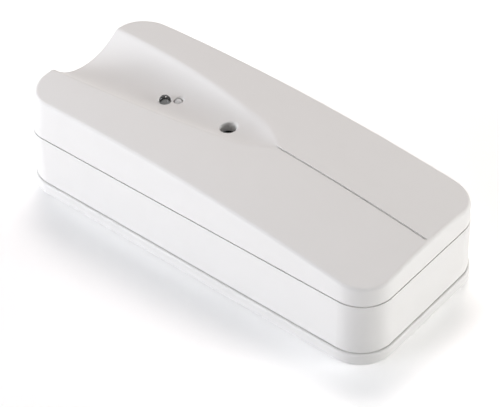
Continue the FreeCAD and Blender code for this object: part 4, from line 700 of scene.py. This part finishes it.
class Skin:
    """The points, in millimetres, and the faces of a closed mesh."""

    def __init__(self):
        self.points = []
        self.faces = []

    def add(self, point):
        """Adds a point and gives its number."""
        self.points.append(point)
        return len(self.points) - 1

    def loop(self, points):
        """Adds points in order and gives their numbers."""
        return [self.add(point) for point in points]

    def bridge(self, first, second):
        """Joins two closed loops; seen from above both run anticlockwise, the second further along."""
        for index, corner in enumerate(first):
            following = (index + 1) % len(first)
            self.faces.append((corner, second[index], second[following], first[following]))

    def net(self, columns, underside=False):
        """Fills between columns of points, facing up or, for an underside, down."""
        for west, east in zip(columns, columns[1:]):
            for row in range(len(west) - 1):
                face = (west[row], east[row], east[row + 1], west[row + 1])
                self.faces.append(face[::-1] if underside else face)

    def piece(self, name):
        """The mesh as an object of the scene, in metres."""
        mesh = bpy.data.meshes.new(name)
        mesh.from_pydata([Vector(point) * MM for point in self.points], [], self.faces)
        made = bpy.data.objects.new(name, mesh)
        bpy.context.scene.collection.objects.link(made)
        return made


def end_reach(side, rows, inset, set_back):
    """How far the front reaches at one end of the casing, row by row."""
    stations = [Station(side * STRAIGHT_X, y, side, 0.0) for y in rows]
    return [on_wall(station, rim(station, inset)[2], inset + set_back)[0] for station in stations]


def front_columns(skin, inset, set_back=0.0):
    """Points of the crowned and scooped front, column by column from the scooped end."""
    starts = []
    for station in plan_columns():
        starts.append(on_wall(station, rim(station, inset)[2], inset + set_back))
    end_rows = [rows_across(-y, crease(x, inset)) for x, y, _ in (starts[0], starts[-1])]
    reaches = [end_reach(side, rows, inset, set_back) for side, rows in zip((-1, 1), end_rows)]
    columns = []
    for station, (x, y, _) in zip(plan_columns(), starts):
        reach = reaches[0] if station.x < 0 else reaches[1]
        fade = station.out_x ** 2
        column = []
        for across, end in zip(rows_across(-y, crease(x, inset)), reach):
            # Towards an end the columns bend, to follow a rim that bows there
            along = x + fade * (end - reach[0])
            column.append(skin.add((along, across, front_height(along, across, inset))))
        columns.append(column)
    return columns


def around(columns):
    """The outermost points of a net of columns, anticlockwise from the near scooped corner."""
    near = [column[0] for column in columns]
    far = [column[-1] for column in columns]
    return near + columns[-1][1:-1] + far[::-1] + columns[0][-2:0:-1]


def stations_around(skin, columns):
    """The wall's stations that belong to the outermost points."""
    near = plan_columns()
    far = [Station(s.x, -s.y, s.out_x, -s.out_y) for s in near]
    thin_end = [Station(STRAIGHT_X, skin.points[point][1], 1.0, 0.0) for point in columns[-1][1:-1]]
    scooped_end = [Station(-STRAIGHT_X, skin.points[point][1], -1.0, 0.0) for point in columns[0][-2:0:-1]]
    return near + thin_end + far[::-1] + scooped_end


def rounded(start, corner, stop, t):
    """Point of the arc that rounds a corner between two tangent points."""
    pull = 2 * t * (1 - t) * EDGE_WEIGHT
    total = (1 - t) ** 2 + pull + t ** 2
    return tuple(((1 - t) ** 2 * a + pull * b + t ** 2 * c) / total for a, b, c in zip(start, corner, stop))


def wall_profile(top):
    """Inset and height of the wall's rings, from under the rounded edge to the foot's inner step."""
    foot = COVER_FOOT + FOOT_ROUND
    rings = [(0.0, top + (foot - top) * step / WALL_RINGS) for step in range(WALL_RINGS + 1)]
    for degrees in FOOT_TURNS:
        turn = math.radians(degrees)
        rings.append((FOOT_ROUND * (1 - math.cos(turn)), foot - FOOT_ROUND * math.sin(turn)))
    return rings + [(REBATE, COVER_FOOT), (REBATE, TONGUE_TOP), (WALL, TONGUE_TOP)]


def round_edge(skin, loop, starts, corners, stops):
    """Carries a loop of points over the rounded edge between the front and the wall."""
    for step in range(1, EDGE_STEPS + 1):
        arcs = zip(starts, corners, stops)
        following = skin.loop(rounded(*arc, step / EDGE_STEPS) for arc in arcs)
        skin.bridge(loop, following)
        loop = following
    return loop


def wall_rings(skin, loop, stations, profiles):
    """Carries a loop of points down the wall and round its foot."""
    for ring in range(1, len(profiles[0])):
        places = [(station, *profile[ring][::-1]) for station, profile in zip(stations, profiles)]
        following = skin.loop(on_wall(*place) for place in places)
        skin.bridge(loop, following)
        loop = following
    return loop


def cover_shell():
    """The moulding's shell: front, rounded edge, wall, foot with its step, and the room inside."""
    skin = Skin()
    top = front_columns(skin, 0.0, EDGE_REACH)
    skin.net(top)
    loop = around(top)
    stations = stations_around(skin, top)
    starts = [skin.points[point] for point in loop]
    corners = [rim(station) for station in stations]
    stops = [on_wall(station, corner[2] - EDGE_REACH) for station, corner in zip(stations, corners)]
    loop = round_edge(skin, loop, starts, corners, stops)
    loop = wall_rings(skin, loop, stations, [wall_profile(stop[2]) for stop in stops])
    room = front_columns(skin, WALL)
    skin.bridge(loop, around(room))
    skin.net(room, underside=True)
    return skin.piece("cover_shell")


def cover_core():
    """Closed form half a wall inside the front, which trims what stands on the cover's underside."""
    skin = Skin()
    front = front_columns(skin, WALL / 2)
    skin.net(front)
    stations = stations_around(skin, front)
    foot = skin.loop(on_wall(station, UPPER_SEAM, WALL / 2) for station in stations)
    skin.bridge(around(front), foot)
    skin.faces.append(tuple(foot[::-1]))
    return skin.piece("cover_core")


def level_circle(x, y, radius, height, steps):
    """Points of a level circle about an upright axis."""
    turns = [2 * math.pi * step / steps for step in range(steps)]
    return [(x + radius * math.cos(turn), y + radius * math.sin(turn), height) for turn in turns]


def lathe(skin, x, y, profile, steps=TURNED_STEPS):
    """A turned solid about an upright axis, from a profile of radius and height that starts on the axis."""
    poles = [skin.add((x, y, profile[0][1])), skin.add((x, y, profile[-1][1]))]
    rings = [skin.loop(level_circle(x, y, radius, height, steps)) for radius, height in profile[1:-1]]
    for first, second in zip(rings, rings[1:]):
        skin.bridge(second, first)
    for step in range(steps):
        following = (step + 1) % steps
        skin.faces.append((poles[0], rings[0][following], rings[0][step]))
        skin.faces.append((poles[1], rings[-1][step], rings[-1][following]))


def bar(skin, profile, start, stop):
    """A solid drawn along the casing from a profile across it."""
    west = skin.loop((start, y, z) for y, z in profile)
    east = skin.loop((stop, y, z) for y, z in profile)
    skin.faces.append(tuple(west))
    skin.faces.append(tuple(east[::-1]))
    skin.bridge(west, east)


def block(skin, plan, foot, top):
    """A block from the corners of its plan, its foot and its top."""
    (west, south), (east, north) = plan
    bar(skin, [(south, foot), (south, top), (north, top), (north, foot)], west, east)


def settle(piece, step):
    """Makes what a modifier shows the piece's own mesh."""
    shown = bpy.data.meshes.new_from_object(piece.evaluated_get(bpy.context.evaluated_depsgraph_get()))
    piece.modifiers.remove(step)
    piece.data = shown


def carve(piece, operation, tool):
    """Joins, cuts or trims a piece with a tool, which is used up."""
    step = piece.modifiers.new(operation, "BOOLEAN")
    step.operation = operation
    step.solver = "EXACT"
    step.object = tool
    settle(piece, step)
    bpy.data.objects.remove(tool)


def cell_ribs(skin):
    """Two ribs across the cover, each with a round seat that hugs the cell."""
    spread = math.asin(CELL_RIB_HALF / CELL_HUG)
    hug = []
    for step in range(RIB_STEPS + 1):
        turn = spread * (1 - 2 * step / RIB_STEPS)
        hug.append((CELL_Y + CELL_HUG * math.sin(turn), CELL_Z + CELL_HUG * math.cos(turn)))
    sides = [(CELL_Y - CELL_RIB_HALF, SKY), (CELL_Y + CELL_RIB_HALF, SKY)]
    for middle in CELL_RIB_X:
        bar(skin, hug + sides, middle - CELL_RIB_THICKNESS / 2, middle + CELL_RIB_THICKNESS / 2)


def inner_features():
    """Microphone collar, lens pad and the ribs that hold the cell, all standing up into the cover."""
    skin = Skin()
    lathe(skin, COLLAR_X, 0.0, [
        (0.0, PORT_PAD),
        (COLLAR_BORE, PORT_PAD),
        (COLLAR_BORE, COLLAR_FOOT),
        (COLLAR_OUTER, COLLAR_FOOT),
        (COLLAR_OUTER, SKY),
        (0.0, SKY),
    ])
    block(skin, LENS_PAD_BOX, LENS_PAD, SKY)
    cell_ribs(skin)
    return skin.piece("cover_features")


def cover_latches():
    """Two springy tabs a side, each with a barb."""
    skin = Skin()
    for x in LATCH_X:
        for side in (-1, 1):
            profile = [(side * y, z) for y, z in LATCH_PROFILE]
            bar(skin, profile[::-side], x - LATCH_LENGTH / 2, x + LATCH_LENGTH / 2)
    return skin.piece("cover_latches")


def cover_bores():
    """The microphone port with its rounded lip and the two lens holes with a small bevel."""
    skin = Skin()
    lip = [(PORT_RADIUS + out, PORT_FLOOR + up) for out, up in PORT_LIP]
    port = [(0.0, BORES_FROM), (PORT_RADIUS, BORES_FROM), *lip, (0.0, lip[-1][1])]
    lathe(skin, PORT_X, 0.0, port, PORT_STEPS)
    for x, y, radius in LENSES:
        bore = radius + LENS_CLEARANCE
        rim_foot = scoop_height(x, y) - LENS_BEVEL
        lathe(skin, x, y, [
            (0.0, BORES_FROM),
            (bore, BORES_FROM),
            (bore, rim_foot),
            (bore + LENS_FLARE, rim_foot + LENS_FLARE),
            (0.0, rim_foot + LENS_FLARE),
        ])
    return skin.piece("cover_bores")


def front_cover():
    """The whole moulding: its shell, what stands inside it, its latches and its openings."""
    cover = cover_shell()
    features = inner_features()
    carve(features, "INTERSECT", cover_core())
    carve(cover, "UNION", features)
    carve(cover, "UNION", cover_latches())
    carve(cover, "DIFFERENCE", cover_bores())
    cover.name = "front_cover_moulding"
    return cover


# The light pipe: one clear moulding with a polished and a frosted tip

PIPE_FOOT = 17.9
FLANGE_THICKNESS = 1.0
FLANGE_FOOT = LENS_PAD - FLANGE_THICKNESS
FLANGE_MIDDLE = LENS_PAD - FLANGE_THICKNESS / 2
FLANGE_BOX = ((-27.3, -2.5), (-18.0, 3.85))
STEM_PLACES = [(-23.3, 0.0), (-20.1, 1.2)]
SECOND_DOME_DROP = 0.6
DOME_CENTRES = (LENS_FLOOR, LENS_FLOOR - SECOND_DOME_DROP)
DOME_STEPS = 14


def domed_tip(radius, centre):
    """Profile of a tip that ends in half a ball."""
    turns = [math.pi / 2 * step / DOME_STEPS for step in range(DOME_STEPS)]
    dome = [(radius * math.cos(turn), centre + radius * math.sin(turn)) for turn in turns]
    return [(0.0, FLANGE_MIDDLE), (radius, FLANGE_MIDDLE), *dome, (0.0, centre + radius)]


def light_pipe():
    """A flange under the cover, stems down to the board's two lamps and tips up into the scoop."""
    flange = Skin()
    block(flange, FLANGE_BOX, FLANGE_FOOT, LENS_PAD)
    pipe = flange.piece("light_pipe_moulding")
    for (x, y, radius), (stem_x, stem_y), centre in zip(LENSES, STEM_PLACES, DOME_CENTRES):
        tip, stem = Skin(), Skin()
        lathe(tip, x, y, domed_tip(radius, centre))
        stem_profile = [(0.0, PIPE_FOOT), (radius, PIPE_FOOT), (radius, FLANGE_MIDDLE), (0.0, FLANGE_MIDDLE)]
        lathe(stem, stem_x, stem_y, stem_profile)
        carve(pipe, "UNION", tip.piece("tip"))
        carve(pipe, "UNION", stem.piece("stem"))
    return pipe


def frost_second_tip(pipe):
    """Gives the faces of the smaller tip their frosted finish."""
    x, y, radius = LENSES[1]
    pipe.data.materials.append(FINISHES["frosted_acrylic"])
    for face in pipe.data.polygons:
        middle = face.center / MM
        if middle.z > LENS_PAD and math.hypot(middle.x - x, middle.y - y) < radius:
            face.material_index = 1


# The dust mesh: black cloth in plain weave over a thin felt, in front of the capsule. The weave's square
# net is wider than the cloth's reach, which trims it round

CLOTH_MIDDLE = (-3.4, 0.0, 24.85)
CLOTH_REACH = 4.62
THREAD_PITCH = 0.36
THREADS_ACROSS = 27
THREAD_RADIUS = 0.085
THREAD_RISE = 0.06
THREAD_STEPS = 6
THREAD_SIDES = 6
FELT_RADIUS = 4.8
FELT_HEIGHTS = (24.7, 24.78)
FELT_RIM = 0.04


def thread_arc(skin, over):
    """Half a wave of thread: over the crossing along X, or under it along Y."""
    rings = []
    for step in range(THREAD_STEPS + 1):
        along = THREAD_PITCH * (step / THREAD_STEPS - 0.5)
        middle = THREAD_RISE * math.cos(math.pi * along / THREAD_PITCH) * (1 if over else -1)
        section = []
        for side in range(THREAD_SIDES):
            turn = 2 * math.pi * side / THREAD_SIDES
            across, up = THREAD_RADIUS * math.cos(turn), middle + THREAD_RADIUS * math.sin(turn)
            section.append((along, across, up) if over else (-across, along, up))
        rings.append(skin.loop(section))
    for west, east in zip(rings, rings[1:]):
        skin.bridge(east, west)
    skin.faces.append(tuple(rings[0][::-1]))
    skin.faces.append(tuple(rings[-1]))


WEAVE_INPUTS = [
    ("Geometry", "NodeSocketGeometry"),
    ("Reach", "NodeSocketFloat"),
    ("Pitch", "NodeSocketFloat"),
    ("Across", "NodeSocketInt"),
]


def weave_nodes():
    """Lays a crossing of threads on each point of a round net, every second one turned a quarter."""
    group = bpy.data.node_groups.new("plain_weave", "GeometryNodeTree")
    for name, kind in WEAVE_INPUTS:
        group.interface.new_socket(name, in_out="INPUT", socket_type=kind)
    group.interface.new_socket("Geometry", in_out="OUTPUT", socket_type="NodeSocketGeometry")

    def maths(operation, first, second):
        made = add_node(group, "ShaderNodeMath", operation=operation)
        feed(group, made.inputs[0], first)
        feed(group, made.inputs[1], second)
        return made.outputs[0]

    given = add_node(group, "NodeGroupInput").outputs
    across = given["Across"]
    span = maths("MULTIPLY", given["Pitch"], maths("SUBTRACT", across, 1.0))
    net = add_node(group, "GeometryNodeMeshGrid")
    feed_named(group, net, {"Size X": span, "Size Y": span, "Vertices X": across, "Vertices Y": across})

    distance = add_node(group, "ShaderNodeVectorMath", operation="LENGTH")
    feed(group, distance.inputs[0], add_node(group, "GeometryNodeInputPosition").outputs[0])
    inside = maths("LESS_THAN", distance.outputs["Value"], given["Reach"])

    second = maths("MODULO", add_node(group, "GeometryNodeInputIndex").outputs[0], 2.0)
    quarter = add_node(group, "ShaderNodeCombineXYZ")
    feed(group, quarter.inputs["Z"], maths("MULTIPLY", second, math.pi / 2))
    turn = add_node(group, "FunctionNodeEulerToRotation")
    feed(group, turn.inputs[0], quarter.outputs[0])

    crossings = add_node(group, "GeometryNodeInstanceOnPoints")
    feed_named(group, crossings, {
        "Points": net.outputs["Mesh"],
        "Selection": inside,
        "Instance": given["Geometry"],
        "Rotation": turn.outputs[0],
    })
    real = add_node(group, "GeometryNodeRealizeInstances")
    feed(group, real.inputs[0], crossings.outputs[0])
    black = add_node(group, "GeometryNodeSetMaterial")
    feed_named(group, black, {"Geometry": real.outputs[0], "Material": FINISHES["black_cloth"]})
    feed(group, add_node(group, "NodeGroupOutput").inputs[0], black.outputs[0])
    return group


def dust_cloth():
    """The woven cloth, grown from one crossing of threads."""
    crossing = Skin()
    thread_arc(crossing, True)
    thread_arc(crossing, False)
    cloth = crossing.piece("dust_cloth")
    weave = cloth.modifiers.new("plain_weave", "NODES")
    weave.node_group = weave_nodes()
    values = {"Reach": CLOTH_REACH * MM, "Pitch": THREAD_PITCH * MM, "Across": THREADS_ACROSS}
    for socket in weave.node_group.interface.items_tree:
        if socket.name in values:
            weave[socket.identifier] = values[socket.name]
    settle(cloth, weave)
    cloth.data.transform(Matrix.Translation(Vector(CLOTH_MIDDLE) * MM))
    return cloth


def dust_felt():
    """The thin felt that backs the cloth and hides the capsule, softer at its rim."""
    felt = Skin()
    foot, face = FELT_HEIGHTS
    lathe(felt, *CLOTH_MIDDLE[:2], [
        (0.0, foot),
        (FELT_RADIUS, foot),
        (FELT_RADIUS, (foot + face) / 2),
        (FELT_RADIUS - FELT_RIM, face),
        (0.0, face),
    ])
    return felt.piece("dust_felt")


# The dressed sensor in its studio

make_camera()
make_world()
make_floor()
for lamp in LAMPS:
    hang_lamp(lamp)
for node, finish in NODE_FINISHES.items():
    dress(node, finish)

pipe = light_pipe()
for piece, finish, slot, node in [
    (front_cover(), "cover_plastic", "white_shell", "front_cover"),
    (pipe, "clear_acrylic", "clear_lens", "light_pipe"),
    (dust_cloth(), "black_cloth", "black_cloth", "dust_mesh"),
    (dust_felt(), "black_cloth", "black_cloth", "dust_mesh"),
]:
    finish_piece(piece, finish)
    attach(piece, "root")
    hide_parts(node)
frost_second_tip(pipe)

bpy.context.scene.view_settings.view_transform = "Standard"
